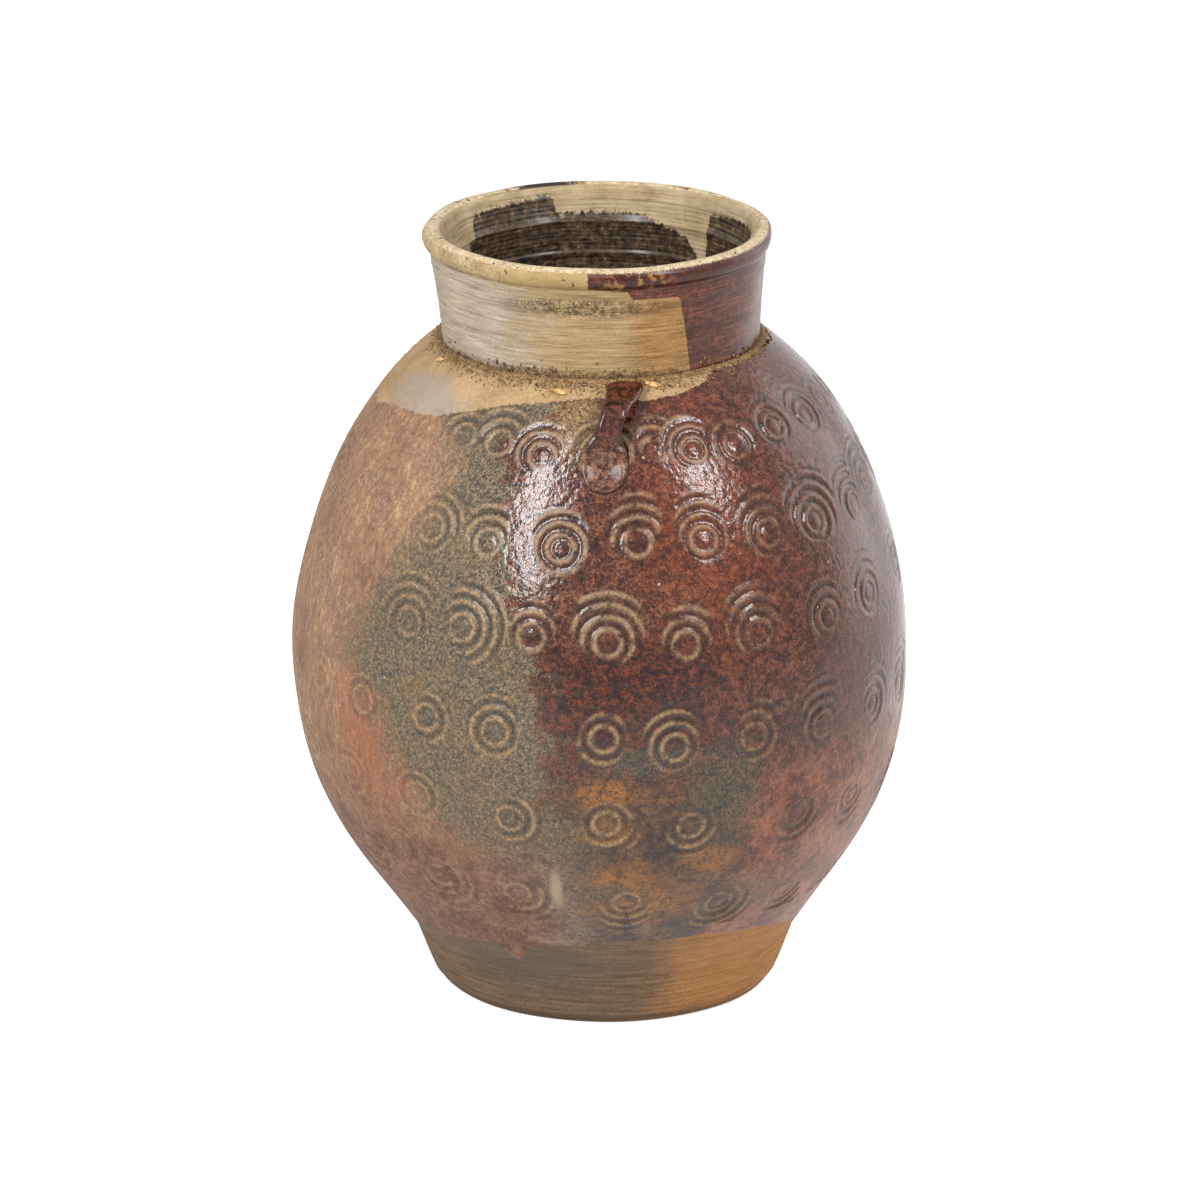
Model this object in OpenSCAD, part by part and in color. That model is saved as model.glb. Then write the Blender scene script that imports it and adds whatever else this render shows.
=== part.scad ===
// Stoneware storage jar with a collar neck, a rolled lip, two strap lugs and six
// courses of wall stamped with concentric rings. Millimetres, +Z up, standing on z = 0.

/* [Foot] */
// Outside radius of the foot where it stands, before its edge is rounded
foot_r = 103; // [95:1:111]
// Radius of the rounded edge under the foot
foot_edge_r = 5; // [3:0.5:6]
// Height of the foot
foot_h = 36; // [30:1:44]
// Outside radius at the top of the foot, where the wall breaks outward
foot_top_r = 117; // [115:1:119]
// Thickness of the floor
floor_t = 13; // [10:1:16]
// Thickness of the foot where it meets the floor
foot_wall = 13; // [11:1:16]
// Radius of the cove between the floor and the wall
cove_r = 12; // [6:1:18]

/* [Body] */
// Outside radius at the belly
belly_r = 188; // [182:1:194]
// Height of the belly
belly_z = 205; // [201:1:209]
// Thickness of the body wall
wall = 10; // [8:0.5:12]
// Height of the plain course above the foot
plain_course_h = 38; // [34:1:42]
// Height of each stamped course
course_h = 55; // [53:0.5:58]
// Lean of the wall above the foot, in degrees from upright
lower_lean = 35; // [34:0.5:36]
// Lean of the wall where the belly's curve hands over to the shoulder's
upper_lean = 31; // [29:0.5:33]
// Lean of the shoulder where it meets the neck
top_lean = 54; // [52:0.5:57]
// Angle of the scarf joints, from square to the wall
scarf = 25; // [15:1:30]

/* [Stamps] */
// Width of the straight band that the stamps leave round the middle of a course
band_w = 38; // [37:0.5:42]
// Stamps round each course, from the lowest to the highest
stamps_in_row = [18, 20, 24, 24, 24, 26]; // [12:1:26]
// Rings pressed by a stamp round its boss
rings = 2; // [1:1:2]
// Radius of the innermost ring of a stamp, at its middle
first_ring_r = 9.6; // [8.5:0.1:10]
// Step from one ring to the next
ring_pitch = 7.1; // [6.5:0.1:7.3]
// Width of the groove that a ring leaves
groove_w = 2.6; // [2:0.1:3]
// Depth of the groove at the middle of a stamp
press_depth = 1.3; // [1:0.1:1.6]
// Tilt of the stamp, which sinks the rings on its higher side
press_tilt = 2; // [0:0.5:3]

/* [Neck] */
// Outside radius of the neck at its root
neck_r = 97; // [92:0.5:100]
// Thickness of the neck at its root
neck_wall = 8; // [7:0.5:10]
// How far the neck flares outward from its root to the lip
neck_flare = 5; // [3:0.5:7]
// Height of the neck, from the shoulder to the lip
neck_h = 56; // [46:1:66]
// Ledge of the shoulder outside the neck's root
neck_ledge = 4; // [3:0.5:6]
// Radius of the roll of clay that closes the seam round the neck
seam_roll_r = 3.5; // [3:0.25:5]
// Distance of the roll's middle from the neck and above the shoulder's top
seam_set = 1; // [0.5:0.25:2]

/* [Lip] */
// How far the lip stands proud of the neck outside
lip_proud = 3.5; // [2:0.5:5]
// Thickness of the lip
lip_wall = 12; // [10:0.5:13]
// Height of the lip
lip_h = 20; // [18:1:24]
// Rise of the seat between the neck and the lip, towards the bore
lip_seat_rise = 3; // [2:0.5:4]

/* [Lugs] */
// Height of the eye's middle below the top of the shoulder
eye_drop = 20; // [18:1:26]
// Radius of the cord eye, which is also its clear rise off the shoulder
eye_r = 10; // [8:0.5:12]
// Thickness of the strap over the eye
strap_t = 7; // [5:0.5:8]
// Width of the strap at its root under the neck
root_w = 22; // [16:1:26]
// Width of the strap at its waist
waist_w = 18; // [14:1:24]
// Width of the thumbed pad at its foot
pad_w = 29; // [24:1:34]
// Thickness of the pad on the wall
pad_t = 4; // [3:0.5:6]
// Depth of the thumb mark in the pad
thumb_depth = 1.5; // [0.5:0.25:2]
// Height of the pad's lowest point below the top of the shoulder
pad_drop = 51; // [47:1:56]
// Sideways lean of the strap from its pad to its root
lug_sway = 16; // [0:1:18]

/* [Hidden] */

// Faces round a full turn
$fn = 160;
courses = len(stamps_in_row);
shoulder_r = neck_r + neck_ledge;
bore_r = neck_r - neck_wall;
neck_top_r = neck_r + neck_flare;
lip_r = neck_top_r + lip_proud;
mouth_r = lip_r - lip_wall;
plain_top = foot_h + plain_course_h;
body_top = plain_top + courses * course_h;
neck_top = body_top + neck_h;
jar_h = neck_top + lip_h;
foot_lean = atan((foot_top_r - foot_r) / foot_h);

// Lower arc: tangent to the straight wall above the foot, and upright at the belly
lower_arc_r = (belly_r - foot_top_r - tan(lower_lean) * (belly_z - foot_h)) / (1 - 1 / cos(lower_lean));
lower_centre = [belly_r - lower_arc_r, belly_z];

// Belly and shoulder arcs: upright at the belly, tangent where they meet, and
// together reaching the top of the shoulder
rise = body_top - belly_z;
draw_in = belly_r - shoulder_r;
step_up = sin(top_lean) - sin(upper_lean);
step_in = cos(upper_lean) - cos(top_lean);
det = sin(upper_lean) * step_in - (1 - cos(upper_lean)) * step_up;
belly_arc_r = (rise * step_in - draw_in * step_up) / det;
shoulder_arc_r = (sin(upper_lean) * draw_in - (1 - cos(upper_lean)) * rise) / det;
belly_centre = [belly_r - belly_arc_r, belly_z];
shoulder_centre = belly_centre
    + (belly_arc_r - shoulder_arc_r) * [cos(upper_lean), sin(upper_lean)];

// Heights at which the outside passes from one curve to the next
lower_tangent_z = belly_z - lower_arc_r * sin(lower_lean);
upper_tangent_z = belly_z + belly_arc_r * sin(upper_lean);

// Lean of the outside wall at a height, positive where it faces upward
function lean_at(z) =
    z < lower_tangent_z ? -lower_lean :
    z < belly_z ? asin((z - belly_z) / lower_arc_r) :
    z < upper_tangent_z ? asin((z - belly_z) / belly_arc_r) :
    asin((z - shoulder_centre.y) / shoulder_arc_r);

// Outside radius of the wall at a height, on its curves
function wall_r(z) =
    z < lower_tangent_z ? foot_top_r + (z - foot_h) * tan(lower_lean) :
    z < belly_z ? lower_centre.x + lower_arc_r * cos(lean_at(z)) :
    z < upper_tangent_z ? belly_centre.x + belly_arc_r * cos(lean_at(z)) :
    shoulder_centre.x + shoulder_arc_r * cos(lean_at(z));

// Point a distance s into the wall from its outside at height z, turned by an angle
function point_in(z, s, turn = 0) =
    let (a = lean_at(z) - turn)
    [wall_r(z) - s * cos(a), z - s * sin(a)];

// Point on the joint that meets the outside at height z, a distance s into the wall,
// and the ends of its cut, which passes both faces of the wall
function joint_point(z, s) = point_in(z, s, scarf);
function joint_outer(z) = joint_point(z, -wall);
function joint_inner(z) = joint_point(z, 3 * wall);

// Height of the joint at the top of the shoulder, at radius r
function top_joint_z(r) = body_top + (r - shoulder_r) * tan(top_lean - scarf);

// Points of an arc
function arc(centre, radius, from, to, steps) =
    [for (i = [0:steps]) let (a = from + (to - from) * i / steps)
        centre + radius * [cos(a), sin(a)]];

// Height of the middle of a course, and of the ends of its straight band
function course_mid(row) = plain_top + (row + 0.5) * course_h;
function band_end(row, side) =
    course_mid(row) + side * band_w / 2 * cos(lean_at(course_mid(row)));

// Heights that divide a stretch of the outside into short straight steps
function stretch(low, high, steps = 4) = [for (i = [0:steps]) low + (high - low) * i / steps];

// Heights of the outside's points, from the top of the foot to the top of the shoulder
outline_z = concat(
    stretch(foot_h, band_end(0, -1)),
    [for (row = [0:courses - 2]) each stretch(band_end(row, 1), band_end(row + 1, -1))],
    stretch(band_end(courses - 1, 1), body_top));

// Half section of the outside, from the foot to the top of the shoulder
module outer_half() {
    polygon(concat(
        [[0, 0]],
        arc([foot_r - foot_edge_r, foot_edge_r], foot_edge_r, -90, -foot_lean, 6),
        [for (z = outline_z) point_in(z, 0)],
        [[0, body_top]]));
}

// Half section of the space inside
inner_foot = [foot_r - foot_wall, floor_t];
inner_start = point_in(plain_top, wall);
inner_top = joint_point(body_top, wall / cos(scarf));
inner_lean = atan((inner_start.x - inner_foot.x) / (inner_start.y - inner_foot.y));
cove_set = cove_r * tan((90 - inner_lean) / 2);

module inner_half() {
    polygon(concat(
        [[0, floor_t]],
        arc([inner_foot.x - cove_set, floor_t + cove_r], cove_r, -90, -inner_lean, 8),
        [inner_start],
        [for (z = outline_z) if (z > plain_top) point_in(z, wall)],
        [inner_top, [inner_top.x, body_top], [0, body_top]]));
}

// Half section of one ring of the wall, between the joints at two outside heights
module wall_ring(low, high) {
    rotate_extrude()
        difference() {
            intersection() {
                outer_half();
                polygon([joint_outer(low), joint_inner(low), joint_inner(high), joint_outer(high)]);
            }
            inner_half();
        }
}

// Ends of a course's straight band, and the band's lean
function band_low(row) = point_in(band_end(row, -1), 0);
function band_high(row) = point_in(band_end(row, 1), 0);
function band_lean(row) =
    let (run = band_high(row) - band_low(row))
    atan2(-run.x, run.y);

// Angle of a stamp round the jar, and whether it clears the pads of both lugs
function stamp_angle(row, i) = 360 * (i + 0.5 * (row % 2)) / stamps_in_row[row];
last_ring_r = first_ring_r + (rings - 1) * ring_pitch + groove_w / 2;
function clears_lugs(row, angle) =
    band_end(row, 1) < pad_low
    || wall_r(course_mid(row)) * abs(cos(angle)) > last_ring_r + (pad_w + lug_sway) / 2;

// Grooves of one stamp, with the wall's surface on z = 0 and their tops clear of it
module stamp_grooves() {
    top = 2 * press_depth;
    rotate_extrude($fn = 32)
        for (i = [0:rings - 1])
            translate([first_ring_r + i * ring_pitch - groove_w / 2, -press_depth])
                square([groove_w, press_depth + top]);
}

// One row of stamps, pressed into the middle of its course
module stamp_row(row) {
    middle = (band_low(row) + band_high(row)) / 2;
    for (i = [0:stamps_in_row[row] - 1])
        if (clears_lugs(row, stamp_angle(row, i)))
            rotate(stamp_angle(row, i))
                translate([middle.x, 0, middle.y])
                    rotate([0, 90 - band_lean(row) + press_tilt, 0])
                        stamp_grooves();
}

module base_disc() {
    color("tan")
        rotate_extrude()
            difference() {
                intersection() {
                    outer_half();
                    square([foot_top_r, floor_t]);
                }
                foot_slab();
            }
}

// Half section of the foot ring's place: it sits on the floor disc by a sloping seat
module foot_slab() {
    polygon([[inner_foot.x - cove_set, floor_t], [foot_top_r, floor_t / 2],
             joint_outer(foot_h), joint_inner(foot_h),
             [inner_foot.x - cove_set, foot_h]]);
}

module foot_ring() {
    color("tan")
        rotate_extrude()
            difference() {
                intersection() {
                    outer_half();
                    foot_slab();
                }
                inner_half();
            }
}

module plain_course() {
    color("peru") wall_ring(foot_h, plain_top);
}

module stamped_course(row) {
    color("sienna")
        difference() {
            wall_ring(plain_top + row * course_h, plain_top + (row + 1) * course_h);
            stamp_row(row);
        }
}

// Half section of the neck, from its scarfed seat on the shoulder to the lip's seat
module neck_half() {
    polygon([[bore_r, top_joint_z(bore_r)], [neck_r, top_joint_z(neck_r)],
             [neck_top_r, neck_top], [bore_r, neck_top + lip_seat_rise]]);
}

module neck_collar() {
    color("burlywood") rotate_extrude() neck_half();
}

module neck_seam_roll() {
    color("tan")
        rotate_extrude()
            difference() {
                translate([neck_r + seam_set, body_top + seam_set]) circle(seam_roll_r, $fn = 48);
                outer_half();
                neck_half();
            }
}

// Half section of the lip: round on top, drawn in to the neck underneath
module rolled_lip() {
    mid_r = (lip_r + mouth_r) / 2;
    top_r = (lip_r - mouth_r) / 2;
    under_r = lip_r - neck_top_r;
    color("burlywood")
        rotate_extrude()
            polygon(concat(
                [[bore_r, neck_top + lip_seat_rise]],
                arc([neck_top_r, neck_top + under_r], under_r, -90, 0, 6),
                arc([mid_r, jar_h - top_r], top_r, 0, 180, 12),
                [[mouth_r, neck_top + lip_seat_rise + mouth_r - bore_r]]));
}

// Middle of the eye, on the shoulder's outside
eye_z = body_top - eye_drop;
pad_low = body_top - pad_drop;
pad_mid_z = pad_low + pad_w / 2;

// Length across a lug that passes both its sides
lug_span = 2 * pad_w;

// Sideways place and half width of the strap at a share of its height, 0 at the pad
function strap_x(share) = lug_sway * (share - 0.5);
function strap_half(share) =
    let (pad_share = (1 + cos(180 * min(1, 2 * share))) / 2,
         root_share = (1 - cos(180 * max(0, 2 * share - 1))) / 2)
    (waist_w + (pad_w - waist_w) * pad_share + (root_w - waist_w) * root_share) / 2;

// Outline of a lug seen square on, as x across and y up
module lug_outline() {
    steps = 12;
    end_dip = 15;
    shares = [for (i = [0:steps]) i / steps];
    height = body_top - pad_mid_z;
    polygon(concat(
        [for (s = shares) [strap_x(s) + strap_half(s), pad_mid_z + s * height]],
        [for (i = [steps:-1:0]) let (s = shares[i]) [strap_x(s) - strap_half(s), pad_mid_z + s * height]],
        arc([strap_x(0), pad_mid_z], pad_w / 2, 180 + end_dip, 360 - end_dip, 10)));
}

// Strap over the eye, as a ring lying across the shoulder
module strap_ring() {
    translate([0, -wall_r(eye_z), eye_z])
        rotate([0, 90, 0])
            cylinder(r = eye_r + strap_t, h = lug_span, center = true, $fn = 96);
}

module eye_hole() {
    translate([0, -wall_r(eye_z), eye_z])
        rotate([0, 90, 0])
            cylinder(r = eye_r, h = lug_span, center = true, $fn = 64);
}

// Skin of clay over the shoulder, as thick as the pad
module pad_skin() {
    heights = stretch(pad_low - pad_t, eye_z, 8);
    rotate_extrude()
        polygon(concat(
            [for (z = heights) point_in(z, wall / 2)],
            [for (i = [len(heights) - 1:-1:0]) point_in(heights[i], -pad_t)]));
}

// Ball that leaves the thumb mark in the pad
module thumb_mark() {
    thumb_r = pad_w / 2;
    middle = point_in(pad_mid_z, thumb_depth - pad_t - thumb_r);
    translate([strap_x(0), -middle.x, middle.y]) sphere(thumb_r, $fn = 48);
}

// One lug at the front, seated on the shoulder
module lug() {
    difference() {
        intersection() {
            union() {
                strap_ring();
                pad_skin();
            }
            rotate([90, 0, 0]) linear_extrude(belly_r) lug_outline();
        }
        eye_hole();
        thumb_mark();
        rotate_extrude() outer_half();
        rotate_extrude() translate([0, body_top]) square([neck_r + seam_set + seam_roll_r, neck_h]);
    }
}

module front_lug() {
    color("saddlebrown") lug();
}

module back_lug() {
    color("saddlebrown") rotate(180) lug();
}

base_disc();
foot_ring();
plain_course();
stamped_course(0);  // stamped_course_1
stamped_course(1);  // stamped_course_2
stamped_course(2);  // stamped_course_3
stamped_course(3);  // stamped_course_4
stamped_course(4);  // stamped_course_5
stamped_course(5);  // stamped_course_6
neck_collar();
neck_seam_roll();
rolled_lip();
front_lug();
back_lug();
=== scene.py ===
"""Stoneware storage jar: its fired surface, modelled and finished round the construction's frame.

Heights and radii are in millimetres while shapes are worked out, and turn to metres when a mesh is
made. Angles round the jar are in degrees, seen from above: 0 faces the camera and they grow to the
right. The front lug stands at the construction's -Y, a few degrees right of the camera.
"""
from __future__ import annotations

import logging
import math
from dataclasses import dataclass, field
from enum import Enum
from typing import Any, Callable, Sequence

import bpy
import numpy as np
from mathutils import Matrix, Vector

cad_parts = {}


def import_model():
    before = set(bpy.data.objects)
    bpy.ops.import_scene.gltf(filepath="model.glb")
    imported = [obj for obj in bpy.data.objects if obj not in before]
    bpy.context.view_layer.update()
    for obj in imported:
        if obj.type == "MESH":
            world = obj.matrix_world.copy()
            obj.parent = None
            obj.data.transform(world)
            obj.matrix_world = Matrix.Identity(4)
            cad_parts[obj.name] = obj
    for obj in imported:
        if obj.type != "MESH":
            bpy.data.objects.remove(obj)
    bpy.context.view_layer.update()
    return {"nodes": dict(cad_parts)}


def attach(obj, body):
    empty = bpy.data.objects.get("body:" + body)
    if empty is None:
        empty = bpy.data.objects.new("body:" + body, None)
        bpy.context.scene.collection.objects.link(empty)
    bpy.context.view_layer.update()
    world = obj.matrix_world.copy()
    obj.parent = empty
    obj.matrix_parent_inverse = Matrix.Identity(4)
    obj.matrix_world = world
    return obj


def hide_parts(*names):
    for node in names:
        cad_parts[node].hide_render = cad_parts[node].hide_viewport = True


LOG = logging.getLogger("jar")
MM = 0.001
VIEW_TURN = 4.6
BODY = "root"
SHARP_FROM = 50


class Slot(Enum):
    """Material slots of the record."""

    BODY = "glazed_body"
    FOOT = "bare_foot"
    NECK = "bare_neck"
    LUG = "glazed_lug"


def srgb(code: str, alpha: float = 1.0) -> tuple[float, float, float, float]:
    """Turn an sRGB hex colour to linear values.

    Args:
        code: Six hex digits, with or without a leading mark.
        alpha: Opacity to add.

    Returns:
        Linear red, green, blue and alpha.
    """
    digits = code.lstrip("#")
    parts = [int(digits[i:i + 2], 16) / 255 for i in (0, 2, 4)]
    linear = [c / 12.92 if c <= 0.04045 else ((c + 0.055) / 1.055) ** 2.4 for c in parts]
    return (linear[0], linear[1], linear[2], alpha)


def ease(low: float, high: float, value: np.ndarray) -> np.ndarray:
    """Rise smoothly from 0 at low to 1 at high."""
    share = np.clip((value - low) / (high - low), 0.0, 1.0)
    return share * share * (3 - 2 * share)


@dataclass(frozen=True)
class JarProfile:
    """Outline of the jar, in millimetres, from the same driving sizes as the construction."""

    foot_r: float = 103.0
    foot_h: float = 36.0
    foot_top_r: float = 117.0
    foot_edge_r: float = 5.0
    foot_wall: float = 13.0
    floor_t: float = 13.0
    belly_r: float = 188.0
    belly_z: float = 205.0
    wall: float = 10.0
    plain_h: float = 38.0
    course_h: float = 55.0
    courses: int = 6
    lower_lean: float = 35.0
    upper_lean: float = 31.0
    top_lean: float = 54.0
    scarf: float = 25.0
    neck_r: float = 97.0
    neck_wall: float = 8.0
    neck_flare: float = 5.0
    neck_h: float = 56.0
    neck_ledge: float = 4.0
    lip_proud: float = 3.5
    lip_wall: float = 12.0
    lip_h: float = 14.0
    lip_seat_rise: float = 3.0

    @property
    def plain_top(self) -> float:
        """Height where the stamped courses start."""
        return self.foot_h + self.plain_h

    @property
    def body_top(self) -> float:
        """Height of the top of the shoulder."""
        return self.plain_top + self.courses * self.course_h

    @property
    def neck_top(self) -> float:
        """Height of the underside of the lip."""
        return self.body_top + self.neck_h

    @property
    def height(self) -> float:
        """Overall height."""
        return self.neck_top + self.lip_h

    @property
    def arcs(self) -> tuple[float, float, float]:
        """Radii of the lower, belly and shoulder arcs."""
        lower, upper, top = (math.radians(a) for a in (self.lower_lean, self.upper_lean, self.top_lean))
        low_r = (self.belly_r - self.foot_top_r - math.tan(lower) * (self.belly_z - self.foot_h)) \
            / (1 - 1 / math.cos(lower))
        rise = self.body_top - self.belly_z
        draw_in = self.belly_r - self.neck_r - self.neck_ledge
        step_up = math.sin(top) - math.sin(upper)
        step_in = math.cos(upper) - math.cos(top)
        det = math.sin(upper) * step_in - (1 - math.cos(upper)) * step_up
        belly = (rise * step_in - draw_in * step_up) / det
        shoulder = (math.sin(upper) * draw_in - (1 - math.cos(upper)) * rise) / det
        return low_r, belly, shoulder

    def lean(self, z: np.ndarray) -> np.ndarray:
        """Lean of the outside in radians at each height, positive where it faces upward."""
        z = np.asarray(z, float)
        low_r, belly, shoulder = self.arcs
        upper = math.radians(self.upper_lean)
        low_z = self.belly_z - low_r * math.sin(math.radians(self.lower_lean))
        high_z = self.belly_z + belly * math.sin(upper)
        centre_z = self.belly_z + (belly - shoulder) * math.sin(upper)
        limit = math.sin(math.radians(self.top_lean))
        lean = np.where(z < self.belly_z, np.arcsin(np.clip((z - self.belly_z) / low_r, -0.9, 0.9)),
                        np.arcsin(np.clip((z - self.belly_z) / belly, -0.9, 0.9)))
        lean = np.where(z > high_z, np.arcsin(np.clip((z - centre_z) / shoulder, -limit, limit)), lean)
        return np.where(z < low_z, -math.radians(self.lower_lean), lean)

    def radius(self, z: np.ndarray) -> np.ndarray:
        """Outside radius at each height, from the foot to the top of the shoulder."""
        z = np.asarray(z, float)
        low_r, belly, shoulder = self.arcs
        upper = math.radians(self.upper_lean)
        low_z = self.belly_z - low_r * math.sin(math.radians(self.lower_lean))
        high_z = self.belly_z + belly * math.sin(upper)
        lean = self.lean(z)
        centre_r = self.belly_r - belly + (belly - shoulder) * math.cos(upper)
        curve = np.where(z < self.belly_z, self.belly_r - low_r + low_r * np.cos(lean),
                         self.belly_r - belly + belly * np.cos(lean))
        curve = np.where(z > high_z, centre_r + shoulder * np.cos(lean), curve)
        straight = self.foot_top_r + (z - self.foot_h) * math.tan(math.radians(self.lower_lean))
        curve = np.where(z < low_z, straight, curve)
        foot = self.foot_r + (self.foot_top_r - self.foot_r) * z / self.foot_h
        return np.where(z < self.foot_h, foot, curve)

    def inward(self, z: np.ndarray, depth: np.ndarray | float, turn: float = 0.0) -> np.ndarray:
        """Points a depth into the wall from its outside.

        Args:
            z: Heights on the outside.
            depth: Distance into the wall, square to it.
            turn: Angle in degrees that turns the direction, as a scarf joint does.

        Returns:
            Array of radius and height pairs.
        """
        lean = self.lean(z) - math.radians(turn)
        return np.stack([self.radius(z) - depth * np.cos(lean), z - depth * np.sin(lean)], axis=-1)

    def top_joint(self, r: float) -> float:
        """Height of the joint between the shoulder and the neck at a radius."""
        slope = math.tan(math.radians(self.top_lean - self.scarf))
        return self.body_top + (r - self.neck_r - self.neck_ledge) * slope


@dataclass(frozen=True)
class HandWarp:
    """Small unevenness of a jar built and paddled by hand, the same for every piece."""

    heights: tuple[float, ...] = (0, 60, 130, 206, 300, 360, 410, 480)
    shifts: tuple[float, ...] = (3.5, 2.8, 1.0, -0.4, 0.8, 1.6, 0.4, -1.6)
    dent: float = 0.55
    ovality: float = 0.9

    def move(self, points: np.ndarray) -> np.ndarray:
        """Move points in millimetres by the jar's lean, ovality and dents.

        Args:
            points: Array of x, y and z in millimetres.

        Returns:
            Moved copy of the points.
        """
        x, y, z = points[:, 0], points[:, 1], points[:, 2]
        angle = np.arctan2(x, -y)
        reach = np.hypot(x, y)
        hold = ease(20, 80, reach)
        swell = self.ovality * np.cos(2 * angle + 0.7) * ease(0, 120, z)
        swell += self.dent * np.sin(5 * angle + z / 31) * np.cos(3 * angle - z / 47 + 1.3)
        swell += 0.5 * self.dent * np.sin(11 * angle - z / 19 + 0.4) * ease(40, 110, z)
        swell *= hold
        shift = np.interp(z, self.heights, self.shifts)
        scale = 1 + swell / np.maximum(reach, 1)
        return np.stack([x * scale + shift, y * scale, z], axis=1)


def new_piece(name: str, mesh: bpy.types.Mesh) -> bpy.types.Object:
    """Make an object of a mesh, at the origin, and link it to the scene."""
    piece = bpy.data.objects.new(name, mesh)
    bpy.context.scene.collection.objects.link(piece)
    return piece


def grid_mesh(name: str, points: np.ndarray, across: int, along: int, close_along: bool) -> bpy.types.Mesh:
    """Make a smooth mesh of quads from a grid that closes round the jar.

    Args:
        name: Name of the mesh.
        points: Grid points in millimetres, row after row.
        across: Points in a row, which closes on itself.
        along: Number of rows.
        close_along: Whether the last row joins the first.

    Returns:
        The mesh, in metres.
    """
    mesh = bpy.data.meshes.new(name)
    rows = np.arange(along if close_along else along - 1)[:, None]
    cols = np.arange(across)[None, :]
    above = (rows + 1) % along
    beside = (cols + 1) % across
    quads = np.stack([rows * across + cols, rows * across + beside,
                      above * across + beside, above * across + cols], axis=-1).reshape(-1, 4)
    mesh.vertices.add(len(points))
    mesh.vertices.foreach_set("co", (points * MM).astype(np.float32).ravel())
    mesh.loops.add(quads.size)
    mesh.loops.foreach_set("vertex_index", quads.astype(np.int32).ravel())
    mesh.polygons.add(len(quads))
    mesh.polygons.foreach_set("loop_start", np.arange(0, quads.size, 4, dtype=np.int32))
    mesh.polygons.foreach_set("use_smooth", np.ones(len(quads), dtype=bool))
    mesh.update(calc_edges=True)
    mesh.validate()
    return mesh


def revolve(name: str, section: np.ndarray, around: int, warp: HandWarp,
            swell: Callable[[np.ndarray, np.ndarray], np.ndarray] | None = None) -> bpy.types.Mesh:
    """Turn a closed section round the jar's axis into a solid ring.

    Args:
        name: Name of the mesh.
        section: Closed section, radius and height in millimetres, with the clay on its left.
        around: Points round the jar.
        warp: Unevenness of the hand-built jar.
        swell: Gives the radial swelling in millimetres at each angle and section point.

    Returns:
        The mesh of the ring.
    """
    angle = np.linspace(0, 2 * math.pi, around, endpoint=False)[None, :]
    radius = np.repeat(section[:, :1], around, axis=1)
    height = np.repeat(section[:, 1:], around, axis=1)
    if swell is not None:
        radius = radius + swell(np.broadcast_to(angle, radius.shape), np.arange(len(section))[:, None])
    points = np.stack([radius * np.sin(angle), -radius * np.cos(angle), height], axis=-1).reshape(-1, 3)
    return grid_mesh(name, warp.move(points), around, len(section), True)


def mark(mesh: bpy.types.Mesh, name: str, values: np.ndarray) -> None:
    """Store one number or one vector per point on a mesh."""
    kind, field = ("FLOAT", "value") if values.ndim == 1 else ("FLOAT_VECTOR", "vector")
    layer = mesh.attributes.new(name, kind, "POINT")
    layer.data.foreach_set(field, values.astype(np.float32).ravel())


def round_vectors(section: np.ndarray, around: int) -> np.ndarray:
    """Turn vectors of reach and height round the jar's axis, as revolve turns points."""
    angle = np.linspace(0, 2 * math.pi, around, endpoint=False)[None, :]
    reach, rise = section[:, :1], section[:, 1:]
    turned = np.stack([reach * np.sin(angle), -reach * np.cos(angle), rise + 0 * angle], axis=-1)
    return turned.reshape(-1, 3)


class NodeBench:
    """A node tree with one way to add a node, its settings and its links."""

    def __init__(self, tree: bpy.types.NodeTree) -> None:
        """Start on a tree and clear it."""
        self.tree = tree
        tree.nodes.clear()

    @staticmethod
    def socket(sockets: Any, key: str | int) -> bpy.types.NodeSocket:
        """Find a node's socket in use, by its place or its name."""
        if isinstance(key, int):
            return sockets[key]
        return next(s for s in sockets if s.enabled and key in (s.name, s.identifier))

    def add(self, kind: str, inputs: dict[str | int, Any] | None = None, out: str | int = 0,
            **settings: Any) -> bpy.types.NodeSocket:
        """Add a node.

        Args:
            kind: Type of the node.
            inputs: Value or source socket for each input that is set.
            out: Output to return.
            settings: Properties of the node.

        Returns:
            The asked output of the new node, whose node attribute is the node itself.
        """
        node = self.tree.nodes.new(kind)
        for key, value in settings.items():
            setattr(node, key, value)
        for key, value in (inputs or {}).items():
            target = self.socket(node.inputs, key)
            if isinstance(value, bpy.types.NodeSocket):
                self.tree.links.new(value, target)
            else:
                target.default_value = value
        return self.socket(node.outputs, out) if node.outputs else node


MATH = "ShaderNodeMath"
VECTOR = "ShaderNodeVectorMath"
MIX = "ShaderNodeMix"
RANGE = "ShaderNodeMapRange"
NOISE = "ShaderNodeTexNoise"


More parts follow.
